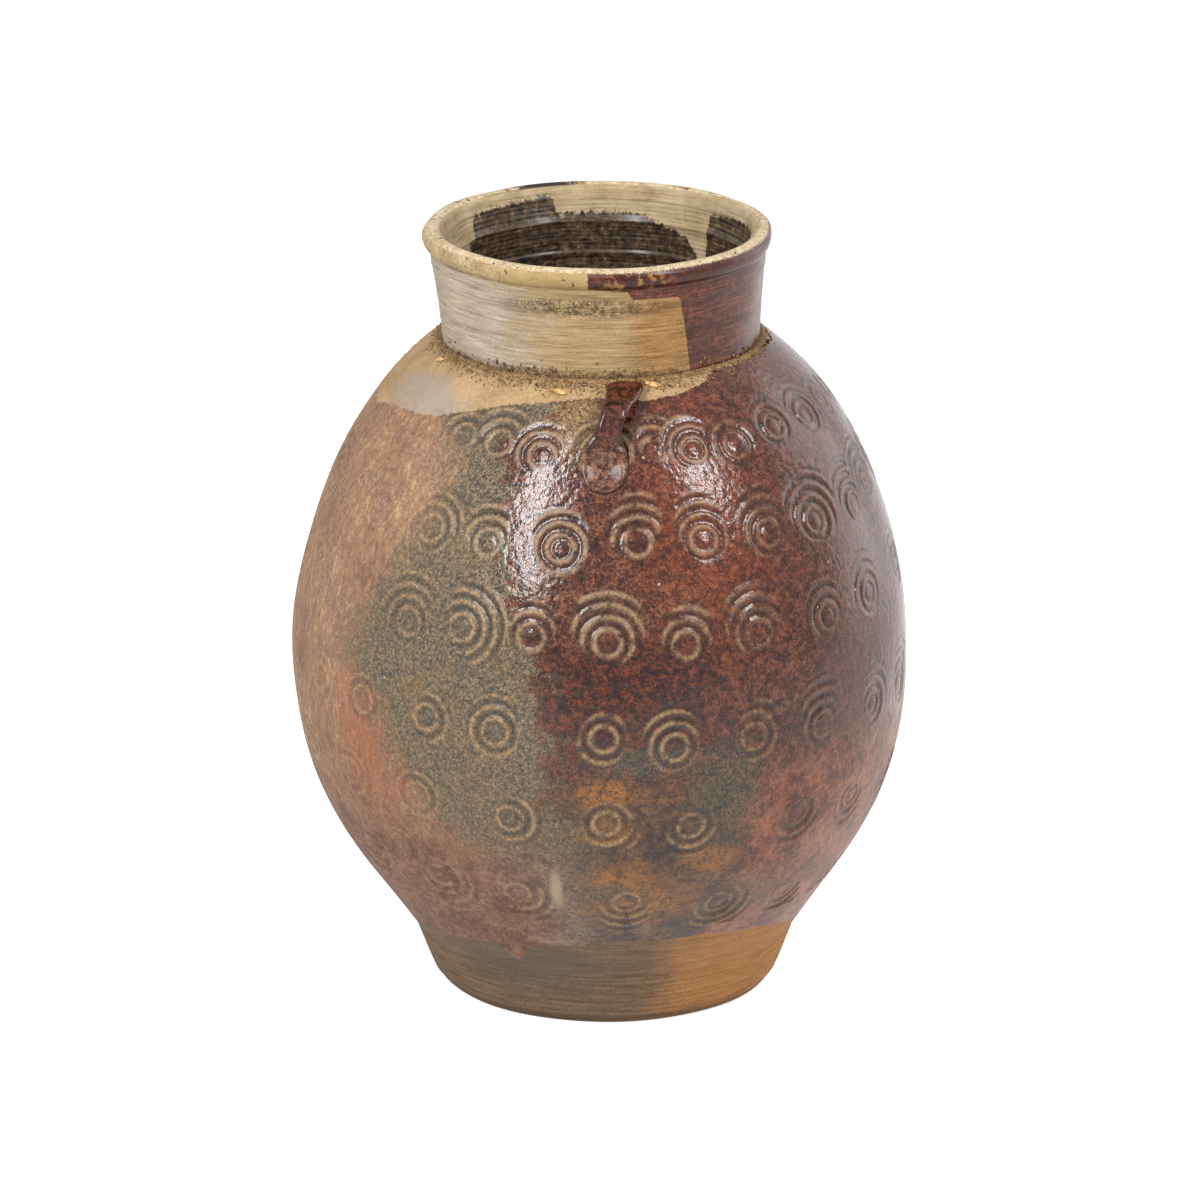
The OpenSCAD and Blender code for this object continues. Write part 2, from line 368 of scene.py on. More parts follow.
class SurfaceChart(NodeBench):
    """Shader tree of a fired surface, with a chart of angle and height to place marks by."""

    def __init__(self, material: bpy.types.Material) -> None:
        """Open the material's tree and lay out the chart."""
        super().__init__(material.node_tree)
        self.where = self.add("ShaderNodeTexCoord", out="Object")
        parts = self.add("ShaderNodeSeparateXYZ", {0: self.where}).node.outputs
        toward = self.add(MATH, {0: parts[1], 1: -1.0}, operation="MULTIPLY")
        turn = self.add(MATH, {0: parts[0], 1: toward}, operation="ARCTAN2")
        degrees = self.add(MATH, {0: turn, 1: math.degrees(1)}, operation="MULTIPLY")
        self.angle = self.add(MATH, {0: degrees, 1: VIEW_TURN}, operation="ADD")
        self.height = self.add(MATH, {0: parts[2], 1: 1 / MM}, operation="MULTIPLY")
        squares = [self.add(MATH, {0: p, 1: 2.0}, operation="POWER") for p in (parts[0], parts[1])]
        total = self.add(MATH, {0: squares[0], 1: squares[1]}, operation="ADD")
        reach = self.add(MATH, {0: total}, operation="SQRT")
        self.reach = self.add(MATH, {0: reach, 1: 1 / MM}, operation="MULTIPLY")
        self.chart = self.add("ShaderNodeCombineXYZ", {0: self.angle, 1: self.height})

    def grain(self, size: float, detail: float = 2.0, rough: float = 0.5,
              stretch: Sequence[float] = (1, 1, 1)) -> bpy.types.NodeSocket:
        """Noise whose lumps have a real size.

        Args:
            size: Size of a lump in millimetres.
            detail: Octaves of finer noise.
            rough: Strength of the finer noise.
            stretch: Scale along each axis.

        Returns:
            The noise, from 0 to 1 about 0.5.
        """
        place = self.where
        if tuple(stretch) != (1, 1, 1):
            place = self.add("ShaderNodeMapping", {"Vector": self.where, "Scale": tuple(stretch)})
        return self.add(NOISE, {"Vector": place, "Scale": 1 / (size * MM), "Detail": detail,
                                "Roughness": rough})

    def between(self, value: Any, low: float, high: float, start: float = 0.0,
                end: float = 1.0) -> bpy.types.NodeSocket:
        """Smooth rise of a value from low to high, as a share from start to end."""
        return self.add(RANGE, {"Value": value, "From Min": low, "From Max": high, "To Min": start,
                                "To Max": end}, interpolation_type="SMOOTHSTEP")

    def both(self, first: Any, second: Any) -> bpy.types.NodeSocket:
        """Share where both of two shares hold."""
        return self.add(MATH, {0: first, 1: second}, operation="MULTIPLY")

    def lay(self, under: Any, over: Any, share: Any) -> bpy.types.NodeSocket:
        """Lay a colour over another by a share."""
        return self.add(MIX, {"Factor": share, "A": under, "B": over}, "Result", data_type="RGBA",
                        clamp_factor=True)

    def blend(self, under: Any, over: Any, share: Any) -> bpy.types.NodeSocket:
        """Blend two numbers by a share."""
        return self.add(MIX, {"Factor": share, "A": under, "B": over}, "Result", data_type="FLOAT",
                        clamp_factor=True)

    def shaken(self, value: Any, noise: Any, amount: float) -> bpy.types.NodeSocket:
        """Shake a value by a noise, up to half the amount either way."""
        centred = self.add(MATH, {0: noise, 1: 0.5}, operation="SUBTRACT")
        return self.add(MATH, {0: centred, 1: amount, 2: value}, operation="MULTIPLY_ADD")

    def edge(self, points: Sequence[tuple[float, float]], along: Any, low: float,
             high: float) -> bpy.types.NodeSocket:
        """Edge of a region as straight runs between a few points.

        Args:
            points: Pairs of a place along the edge and the edge's value there.
            along: Socket that gives the place.
            low: Least value of the curve.
            high: Greatest value of the curve.

        Returns:
            The edge's value at each place.
        """
        first, last = points[0][0], points[-1][0]
        share = self.add(RANGE, {"Value": along, "From Min": first, "From Max": last})
        raised = self.add("ShaderNodeFloatCurve", {"Value": share})
        curve = raised.node.mapping.curves[0]
        for place, value in points[1:-1]:
            curve.points.new((place - first) / (last - first), (value - low) / (high - low))
        for spot, (_, value) in ((curve.points[0], points[0]), (curve.points[-1], points[-1])):
            spot.location = (spot.location[0], (value - low) / (high - low))
        for spot in curve.points:
            spot.handle_type = "VECTOR"
        raised.node.mapping.update()
        return self.add(RANGE, {"Value": raised, "From Min": 0.0, "From Max": 1.0, "To Min": low,
                                "To Max": high})

    def patch(self, angle: float, height: float, wide: float, tall: float, soft: float,
              noise: Any, ragged: float) -> bpy.types.NodeSocket:
        """Oval patch on the surface with a ragged edge.

        Args:
            angle: Angle of its middle.
            height: Height of its middle in millimetres.
            wide: Half width in degrees.
            tall: Half height in millimetres.
            soft: Share of its size over which it fades.
            noise: Noise that breaks up its edge.
            ragged: Strength of that noise.

        Returns:
            Share of the patch at each place.
        """
        away = self.add(VECTOR, {0: self.chart, 1: (angle, height, 0)}, operation="SUBTRACT")
        scaled = self.add(VECTOR, {0: away, 1: (1 / wide, 1 / tall, 0)}, operation="MULTIPLY")
        far = self.add(VECTOR, {0: scaled}, "Value", operation="LENGTH")
        return self.between(self.shaken(far, noise, ragged), 1 + soft, 1 - soft)

    def mottle(self, colours: Sequence[str], noise: Any, spread: float = 0.16) -> bpy.types.NodeSocket:
        """Colours that follow one another as a noise rises.

        Args:
            colours: Hex colours from the noise's low to its high.
            noise: The noise.
            spread: Half width of the noise that takes in all the colours.

        Returns:
            The mottled colour.
        """
        share = self.add(RANGE, {"Value": noise, "From Min": 0.5 - spread, "From Max": 0.5 + spread})
        ramp = self.add("ShaderNodeValToRGB", {"Fac": share}, "Color")
        stops = ramp.node.color_ramp.elements
        for number, code in enumerate(colours):
            place = number / (len(colours) - 1)
            ends = {0: 0, len(colours) - 1: len(stops) - 1}
            stop = stops[ends[number]] if number in ends else stops.new(place)
            stop.position = place
            stop.color = srgb(code)
        return ramp

    def finish(self, colour: Any, rough: Any, relief: Any, depth: float, ior: float = 1.42) -> None:
        """End the tree in a principled surface.

        Args:
            colour: Colour of the surface.
            rough: Roughness of the surface.
            relief: Height of the fine relief, from 0 to 1.
            depth: Depth of that relief in millimetres.
            ior: Index of refraction.
        """
        bump = self.add("ShaderNodeBump", {"Height": relief, "Distance": depth * MM, "Strength": 1.0})
        shader = self.add("ShaderNodeBsdfPrincipled", {
            "Base Color": colour, "Roughness": rough, "Normal": bump, "IOR": ior})
        self.add("ShaderNodeOutputMaterial", {"Surface": shader})


@dataclass(frozen=True)
class IronGlaze:
    """Iron-rich ash glaze on stamped stoneware, brushed or poured on and wood fired.

    It broke red-brown and glossy where it lay thick, green-grey where the ash settled, and dry tan
    on the side away from the fire. Dust has settled on the ridges of the stamped rings.
    """

    name: str = "iron_ash_glaze_wood_fired"
    deep: str = "#240b08"
    dark: str = "#3f1810"
    red: str = "#642a1a"
    rust: str = "#7c3c22"
    orange: str = "#a65a22"
    mauve: str = "#74463a"
    green: str = "#5a5546"
    green_dark: str = "#36362f"
    green_tan: str = "#8f7a58"
    tan: str = "#997558"
    tan_pale: str = "#c39f78"
    tan_pink: str = "#7b5748"
    ochre: str = "#a0672a"
    clay: str = "#b5925f"
    clay_grey: str = "#a3968a"
    dust: str = "#b0926a"
    green_left: tuple = ((90, -14), (132, -24), (162, -33), (190, -41), (219, -45), (238, -54), (275, -49),
                         (327, -40), (361, -37), (378, -45), (392, -50))
    green_right: tuple = ((90, -3), (117, -5), (160, -8), (205, -10), (236, -10), (259, -12), (280, -16),
                          (313, -20), (356, -22), (375, -24), (390, -14))
    shoulder_line: tuple = ((-180, 392), (-110, 374), (-83, 368), (-72, 374), (-51, 378), (-45, 382),
                            (-36, 387), (-27, 392), (-8, 397), (0, 398), (14, 396), (20, 397), (27, 398),
                            (36, 401), (45, 406), (110, 410), (180, 392))
    foot_line: tuple = ((-180, 56), (-110, 54), (-64, 50), (-48, 52), (-36, 56), (-28, 58), (-25, 46),
                        (-22, 46), (-19, 59), (-15, 62), (0, 66), (26, 67), (45, 61), (64, 50), (110, 54),
                        (180, 56))

    def build(self) -> bpy.types.Material:
        """Build the material.

        Returns:
            The finished material.
        """
        material = bpy.data.materials.new(self.name)
        material.use_nodes = True
        c = SurfaceChart(material)
        grit = c.grain(1.0, 2, 0.7)
        fine = c.grain(2.3, 3, 0.65)
        small = c.grain(5.5, 3, 0.6)
        medium = c.grain(19, 4, 0.6)
        large = c.grain(60, 3, 0.55)
        speck = c.blend(grit, fine, 0.45)
        ridge = c.add("ShaderNodeAttribute", {}, "Fac", attribute_name="ring_ridge")
        groove = c.add("ShaderNodeAttribute", {}, "Fac", attribute_name="ring_groove")

        # Thick glossy glaze: dark in the middle, rust to the right
        mixed = c.blend(speck, small, 0.35)
        red = c.mottle(("#220c08", "#451d12", "#572819", "#774933"), mixed, 0.06)
        rusty = c.patch(24, 330, 14, 70, 0.6, medium, 1.6)
        red = c.lay(red, c.mottle(("#481c10", "#672d17", "#85401d"), mixed, 0.06), c.both(rusty, 0.75))
        side = c.between(c.shaken(c.angle, medium, 20), 36, 58)
        red = c.lay(red, c.mottle(("#3a1a12", "#54281c", "#6c3c2c"), mixed, 0.07), side)
        haze = c.patch(8, 288, 20, 22, 0.7, medium, 1.2)
        red = c.lay(red, c.mottle(("#5c2c1e", "#7c523c", self.dust), speck, 0.07), c.both(haze, 0.1))
        dark = c.patch(5, 232, 20, 40, 0.6, medium, 1.3)
        red = c.lay(red, c.mottle(("#1a0806", "#2c100b", "#43190f", "#6c3116"), mixed, 0.06), c.both(dark, 0.9))

        # Lower part, mottled where the glaze ran thin
        low = c.between(c.shaken(c.height, medium, 80), 205, 165)
        lower = c.mottle(("#1c110e", "#472a1e", "#40382b", "#6b3d23", "#745a38"), c.blend(mixed, medium, 0.3), 0.06)
        red = c.lay(red, lower, c.both(low, c.between(c.shaken(c.angle, medium, 20), 34, 22)))
        warm_low = c.mottle(("#4a2418", "#7a432c", "#a0664a"), c.blend(mixed, medium, 0.3), 0.06)
        red = c.lay(red, warm_low, c.both(low, c.between(c.shaken(c.angle, medium, 20), 22, 34)))
        for spot in ((3, 116, 9, 13), (22, 128, 6, 9), (0, 150, 7, 8), (9, 98, 12, 13), (1, 178, 6, 8)):
            glow = c.patch(*spot, 0.6, small, 1.6)
            red = c.lay(red, srgb(self.ochre), c.both(glow, c.between(mixed, 0.45, 0.54, 0.15, 0.85)))
        for spot in ((24, 172, 7, 30), (31, 96, 7, 16), (9, 198, 9, 9), (-6, 134, 6, 26), (2, 108, 6, 8)):
            ash = c.patch(*spot, 0.6, small, 1.4)
            red = c.lay(red, c.mottle(("#2b2a24", "#4a473a", "#6d624a"), speck, 0.07), c.both(ash, 0.6))

        # Ash-green band
        wander = c.shaken(c.angle, c.blend(medium, small, 0.35), 30)
        past_left = c.add(MATH, {0: wander, 1: c.edge(self.green_left, c.height, -70, 0)}, operation="SUBTRACT")
        past_right = c.add(MATH, {0: wander, 1: c.edge(self.green_right, c.height, -70, 0)}, operation="SUBTRACT")
        green = c.mottle(("#302f29", "#4d4839", "#564e3f", "#7c6a50", "#94795a"), speck, 0.095)
        worn = c.between(c.blend(medium, large, 0.5), 0.47, 0.58)
        green = c.lay(green, c.mottle(("#4e402f", "#745c42", "#957a57"), speck, 0.085), c.both(worn, 0.75))
        colour = c.lay(green, red, c.between(past_right, -2.5, 2.5))

        # Dry tan side
        streak = c.grain(3.5, 3, 0.6, (1, 1, 0.35))
        tan = c.mottle((self.tan_pink, self.tan, self.tan, self.tan_pale), c.blend(c.blend(speck, streak, 0.4), large, 0.3), 0.065)
        flush = c.patch(-47, 200, 8, 48, 0.7, medium, 1.4)
        tan = c.lay(tan, c.mottle(("#8a5038", "#a9653f"), speck, 0.07), c.both(flush, 0.65))
        plum = c.between(c.blend(medium, large, 0.6), 0.49, 0.58, 0, 0.6)
        tan = c.lay(tan, c.mottle(("#6f4c44", "#8f6a5c"), speck, 0.07), plum)
        dry = c.between(past_left, 5, -7)
        back = c.between(c.angle, 100, 140)
        dry = c.add(MATH, {0: dry, 1: back}, operation="MAXIMUM")
        colour = c.lay(colour, tan, dry)

        # Low on the left the green fades to brown, and a stain of clay lies left of the lug
        brown = c.mottle(("#4f3529", "#7a5443", "#94705a"), c.blend(mixed, medium, 0.25), 0.06)
        fade = c.both(c.between(c.shaken(c.height, medium, 60), 160, 112), c.between(c.angle, 0, -12))
        colour = c.lay(colour, brown, c.both(fade, 0.85))
        stain = c.patch(-6, 386, 7, 14, 0.5, small, 1.5)
        colour = c.lay(colour, c.mottle(("#4c3a28", "#8b6d48", "#ab8d60"), speck, 0.08), c.both(stain, 0.8))
        streak_ash = c.patch(-9, 110, 1.2, 13, 0.5, fine, 0.5)
        colour = c.lay(colour, srgb("#b09a7c"), c.both(streak_ash, 0.8))

        # Dust on the ridges of the rings, and painted shade darkening their valleys
        dusty = c.both(ridge, c.between(c.blend(small, medium, 0.5), 0.36, 0.52))
        left = c.between(c.angle, 8, 44, 1.0, 0.22)
        heavy = c.both(left, c.between(c.height, 352, 322, 0.7, 1.0))
        powder = c.mottle(("#7d6144", "#a08260", "#b99b72"), speck, 0.085)
        colour = c.lay(colour, powder, c.both(c.both(dusty, heavy), c.blend(0.85, 0.35, dry)))
        # Painted shade: near-black laid into the ring valleys, weaker on the dry side
        colour = c.lay(colour, srgb("#1c100c"), c.both(groove, c.blend(0.5, 0.2, dry)))

        # Bare clay above the glaze on the shoulder, and on the foot
        above = c.add(MATH, {0: c.shaken(c.height, fine, 3), 1: c.edge(self.shoulder_line, c.angle, 350, 420)},
                      operation="SUBTRACT")
        clay = c.mottle(("#957650", "#ac8e68", "#bd9e78"), c.blend(speck, medium, 0.4), 0.10)
        smear = c.patch(-58, 384, 17, 11, 0.5, medium, 1.4)
        clay = c.lay(clay, srgb(self.clay_grey), c.both(smear, 0.75))
        # Darker clay in a band just below the seam round the neck's root
        seam_dark = c.between(c.shaken(c.height, small, 12), 400, 405)
        clay = c.lay(clay, c.mottle(("#3d2c1d", "#6e5236", "#a1814f"), speck, 0.07), c.both(seam_dark, 0.6))
        bare_top = c.between(above, -0.5, 0.5)
        colour = c.lay(colour, clay, bare_top)
        below = c.add(MATH, {0: c.edge(self.foot_line, c.angle, 30, 80), 1: c.shaken(c.height, small, 3)},
                      operation="SUBTRACT")
        bare_foot = c.between(below, -0.5, 0.5)
        colour = c.lay(colour, FootClay.colour(c), bare_foot)
        bare = c.add(MATH, {0: bare_top, 1: bare_foot}, operation="MAXIMUM")

        # Few pale specks, and dark pits on the glossy side
        spots = c.add("ShaderNodeTexVoronoi", {"Vector": c.where, "Scale": 1 / (24 * MM), "Randomness": 1.0},
                      "Distance", feature="F1")
        colour = c.lay(colour, srgb("#cbb58e"), c.both(c.between(spots, 0.040, 0.025), 0.8))
        pits = c.add("ShaderNodeTexVoronoi", {"Vector": c.where, "Scale": 1 / (8 * MM), "Randomness": 1.0},
                     "Distance", feature="F1")
        colour = c.lay(colour, srgb("#1e0f0b"), c.both(c.between(pits, 0.10, 0.05), c.between(c.angle, 5, 50, 0, 0.7)))

        rough = c.blend(c.between(speck, 0.40, 0.60, 0.10, 0.24), 0.50, c.between(past_right, -2, -16))
        rough = c.blend(rough, 0.46, c.both(low, 0.8))
        rough = c.blend(rough, 0.76, dry)
        rough = c.blend(rough, 0.85, bare)
        rough = c.blend(rough, 0.62, c.both(dusty, heavy))
        relief = c.blend(c.grain(4.0, 2, 0.45), fine, c.blend(0.2, 0.5, dry))
        c.finish(colour, rough, relief, 0.55, 1.45)
        return material


@dataclass(frozen=True)
class FootClay:
    """Bare stoneware of the foot, coarse and turned, flashed orange on the fire's side."""

    name: str = "bare_stoneware_turned"

    @staticmethod
    def colour(c: SurfaceChart) -> bpy.types.NodeSocket:
        """Colour of the bare foot on a chart.

        Args:
            c: Chart of the surface.

        Returns:
            The colour at each place.
        """
        streak = c.grain(7, 3, 0.6, (0.25, 0.25, 3))
        body = c.blend(streak, c.grain(1.2, 2, 0.6), 0.5)
        clay = c.mottle(("#5c4938", "#765f49", "#8a7158"), body, 0.12)
        grey = c.patch(-24, 42, 20, 18, 0.6, streak, 1.2)
        clay = c.lay(clay, c.mottle(("#564d45", "#6e6258"), body, 0.12), c.both(grey, 0.8))
        warm = c.between(c.shaken(c.angle, c.grain(25, 3, 0.6), 26), 8, 32)
        cool = c.between(c.angle, 100, 70)
        clay = c.lay(clay, c.mottle(("#9b6c42", "#b4814f", "#c0905c"), body, 0.14), c.both(warm, cool))
        return c.lay(clay, srgb("#5b4733"), c.between(c.shaken(c.height, streak, 9), 10, 3, 0, 0.6))

    def build(self) -> bpy.types.Material:
        """Build the material.

        Returns:
            The finished material.
        """
        material = bpy.data.materials.new(self.name)
        material.use_nodes = True
        c = SurfaceChart(material)
        lines = c.grain(1.8, 3, 0.6, (0.08, 0.08, 1))
        relief = c.blend(lines, c.grain(1.4, 3, 0.65), 0.4)
        c.finish(self.colour(c), 0.86, relief, 0.12)
        return material


@dataclass(frozen=True)
class NeckClay:
    """Wheel-thrown collar of buff stoneware, part bare and part dipped in iron glaze.

    Fine throwing lines run round it, with burnt residue under the lip and inside.
    """

    name: str = "thrown_stoneware_part_glazed"
    glaze_edge: tuple = ((400, 34), (430, 31), (453, 28), (454, 27), (455, 11), (460, 9), (462, -4), (475, -4))

    def build(self) -> bpy.types.Material:
        """Build the material.

        Returns:
            The finished material.
        """
        material = bpy.data.materials.new(self.name)
        material.use_nodes = True
        c = SurfaceChart(material)
        fine = c.grain(1.0, 3, 0.65)
        small = c.grain(4, 3, 0.6)
        medium = c.grain(15, 3, 0.6)
        lines = c.grain(0.9, 2, 0.6, (0.05, 0.05, 1))
        bands = c.grain(5, 2, 0.5, (0.05, 0.05, 1))
        thrown = c.blend(c.blend(lines, bands, 0.35), fine, 0.3)

        # Bare clay outside
        clay = c.mottle(("#7d6847", "#a3885f", "#ab9069", "#c2a77f"), thrown, 0.10)
        cool = c.mottle(("#857766", "#aa9a86", "#b3a391", "#c9bbaa"), thrown, 0.10)
        left = c.both(c.between(c.shaken(c.angle, medium, 30), -12, -42), c.between(c.angle, -172, -110))
        clay = c.lay(clay, cool, left)
        warm = c.both(c.between(c.shaken(c.angle, medium, 16), 6, 18), c.between(c.angle, 36, 30, 0, 0.75))
        clay = c.lay(clay, c.mottle(("#7c5833", "#a17644", "#b48a52"), thrown, 0.10), warm)
        brow = c.patch(-5, 450, 32, 7, 0.5, small, 1.6)
        clay = c.lay(clay, srgb("#2e2219"), c.both(brow, c.between(c.blend(small, fine, 0.5), 0.46, 0.56, 0, 0.85)))
        # Darker clay in a band at the foot of the collar, next to the seam
        collar_foot_dark = c.between(c.shaken(c.height, small, 9), 412, 404)
        clay = c.lay(clay, c.mottle(("#3a2b1e", "#6b5238", "#967a52"), c.blend(fine, small, 0.4), 0.1),
                     c.both(collar_foot_dark, 0.7))

        # Iron glaze on the right, with a crisp edge
        edge = c.edge(self.glaze_edge, c.height, -10, 40)
        past = c.add(MATH, {0: c.shaken(c.angle, small, 1.2), 1: edge}, operation="SUBTRACT")
        dipped = c.both(c.between(past, -0.25, 0.25), c.between(c.angle, 128, 122))
        glaze = c.mottle(("#33150e", "#4f2318", "#5c2c1e", "#7c4833"), c.blend(thrown, small, 0.3), 0.07)
        colour = c.lay(clay, glaze, dipped)

        # Lip: buff, worn pale on top, with dark nicks
        lip = c.between(c.height, 460.4, 461.2)
        buff = c.mottle(("#8c7350", "#b39a74", "#cbb48e"), c.blend(fine, medium, 0.4), 0.10)
        yellow = c.both(c.patch(12, 466, 12, 8, 0.5, small, 1.4), 0.8)
        red_lip = c.mottle(("#220b07", "#481a0e", "#5e2614"), c.blend(fine, small, 0.5), 0.10)
        red_lip = c.lay(red_lip, srgb("#a37b3f"), c.both(yellow, c.between(small, 0.50, 0.60)))
        ochre_lip = c.both(c.between(c.angle, -46, -24), 0.6)
        lip_colour = c.lay(c.lay(buff, srgb("#a98c55"), ochre_lip), red_lip, dipped)
        top = c.between(c.shaken(c.height, fine, 2.5), 471.6, 472.8)
        crown = c.mottle(("#a98e6c", "#c9b491", "#dccbae"), c.blend(fine, small, 0.5), 0.10)
        lip_colour = c.lay(lip_colour, crown, top)
        nick = c.between(c.grain(5, 2, 0.5), 0.66, 0.70, 0, 0.8)
        lip_colour = c.lay(lip_colour, srgb("#3a2a20"), nick)
        smudge = c.patch(-160, 472, 12, 14, 0.4, small, 1.6)
        smudge = c.add(MATH, {0: smudge, 1: c.patch(-186, 473, 10, 3, 0.4, small, 1.4)}, operation="MAXIMUM")
        lip_colour = c.lay(lip_colour, srgb("#33271f"), smudge)
        colour = c.lay(colour, lip_colour, lip)

        # Inside: buff under the lip, then burnt residue
        flare = c.between(c.height, 425, 445, 0, 2.2)
        inside = c.between(c.add(MATH, {0: c.reach, 1: flare}, operation="SUBTRACT"), 94.8, 93.6)
        rear = c.add(MATH, {0: c.angle, 1: 180.0}, operation="SUBTRACT")
        wrap = c.add(MATH, {0: rear, 1: -180.0, 2: 180.0}, operation="WRAP")
        rear = c.add(MATH, {0: wrap, 1: -1.0}, operation="MULTIPLY")
        crust_top = c.edge(((-90, 452), (-58, 452), (-56, 465), (-18, 468), (-17, 457), (15, 457), (36, 446),
                            (44, 430), (46, 430), (47, 463), (72, 467), (90, 467)), rear, 400, 480)
        ragged = c.shaken(c.shaken(c.height, small, 9), fine, 5)
        depth = c.add(MATH, {0: crust_top, 1: ragged}, operation="SUBTRACT")
        crust = c.both(c.between(depth, -1.0, 1.4), c.between(rear, -63, -61))
        pale = c.mottle(("#8f7a5b", "#b09a78", "#c4b08f"), c.blend(thrown, medium, 0.3), 0.10)
        soot = c.mottle(("#1f1815", "#2e2520", "#45382d", "#5f4c39", "#8a7050"), c.blend(thrown, small, 0.45), 0.12)
        colour = c.lay(colour, c.lay(pale, soot, crust), inside)

        glossy = c.add(MATH, {0: dipped, 1: c.both(inside, crust)}, operation="MAXIMUM")
        glossy = c.both(glossy, c.add(MATH, {0: 1.0, 1: c.both(lip, top)}, operation="SUBTRACT"))
        rough = c.blend(0.82, 0.30, glossy)
        relief = c.blend(bands, lines, 0.25)
        c.finish(colour, rough, relief, 0.22, 1.4)
        return material


@dataclass(frozen=True)
class SeamDirt:
    """Crumbs of dry clay, soot and ash lodged in the seam round the neck."""

    name: str = "seam_crumbs_dry_clay"
    colours: tuple = ("#2c2018", "#5b4330", "#9b7b50", "#b6986a")

    def build(self) -> bpy.types.Material:
        """Build the material.

        Returns:
            The finished material.
        """
        material = bpy.data.materials.new(self.name)
        material.use_nodes = True
        c = SurfaceChart(material)
        colour = c.mottle(self.colours, c.blend(c.grain(3.2, 3, 0.7), c.grain(1.0, 2, 0.6), 0.5), 0.18)
        c.finish(colour, 0.9, c.grain(0.8, 3, 0.6), 0.4)
        return material


@dataclass(frozen=True)
class RiceHusk:
    """Burnt-out rice husk flakes: pale straw colour, ribbed along their length."""

    name: str = "rice_husk_flake"

    def build(self) -> bpy.types.Material:
        """Build the material.

        Returns:
            The finished material.
        """
        material = bpy.data.materials.new(self.name)
        material.use_nodes = True
        c = SurfaceChart(material)
        colour = c.mottle(("#a9783c", "#d2a868", "#e6c891"), c.grain(2.0, 3, 0.6))
        c.finish(colour, 0.75, c.grain(0.6, 2, 0.5), 0.15)
        return material


@dataclass(frozen=True)
class LugGlaze:
    """Iron glaze pooled thick and glossy on the thumb-pressed strap, dusty at its foot."""

    name: str = "iron_glaze_pooled_strap"

    def build(self) -> bpy.types.Material:
        """Build the material.

        Returns:
            The finished material.
        """
        material = bpy.data.materials.new(self.name)
        material.use_nodes = True
        c = SurfaceChart(material)
        fine = c.grain(1.2, 3, 0.6)
        small = c.grain(4, 3, 0.6)
        mixed = c.blend(small, fine, 0.45)
        colour = c.mottle(("#1d0a07", "#3e1810", "#683526"), mixed, 0.07)
        low = c.between(c.shaken(c.height, small, 10), 384, 372)
        foot = c.mottle(("#281712", "#4f3023", "#704938", "#8f6c50"), mixed, 0.08)
        colour = c.lay(colour, foot, c.both(low, 0.8))
        c.finish(colour, c.blend(0.18, 0.42, c.both(low, fine)), c.blend(small, fine, 0.08), 0.25, 1.42)
        return material


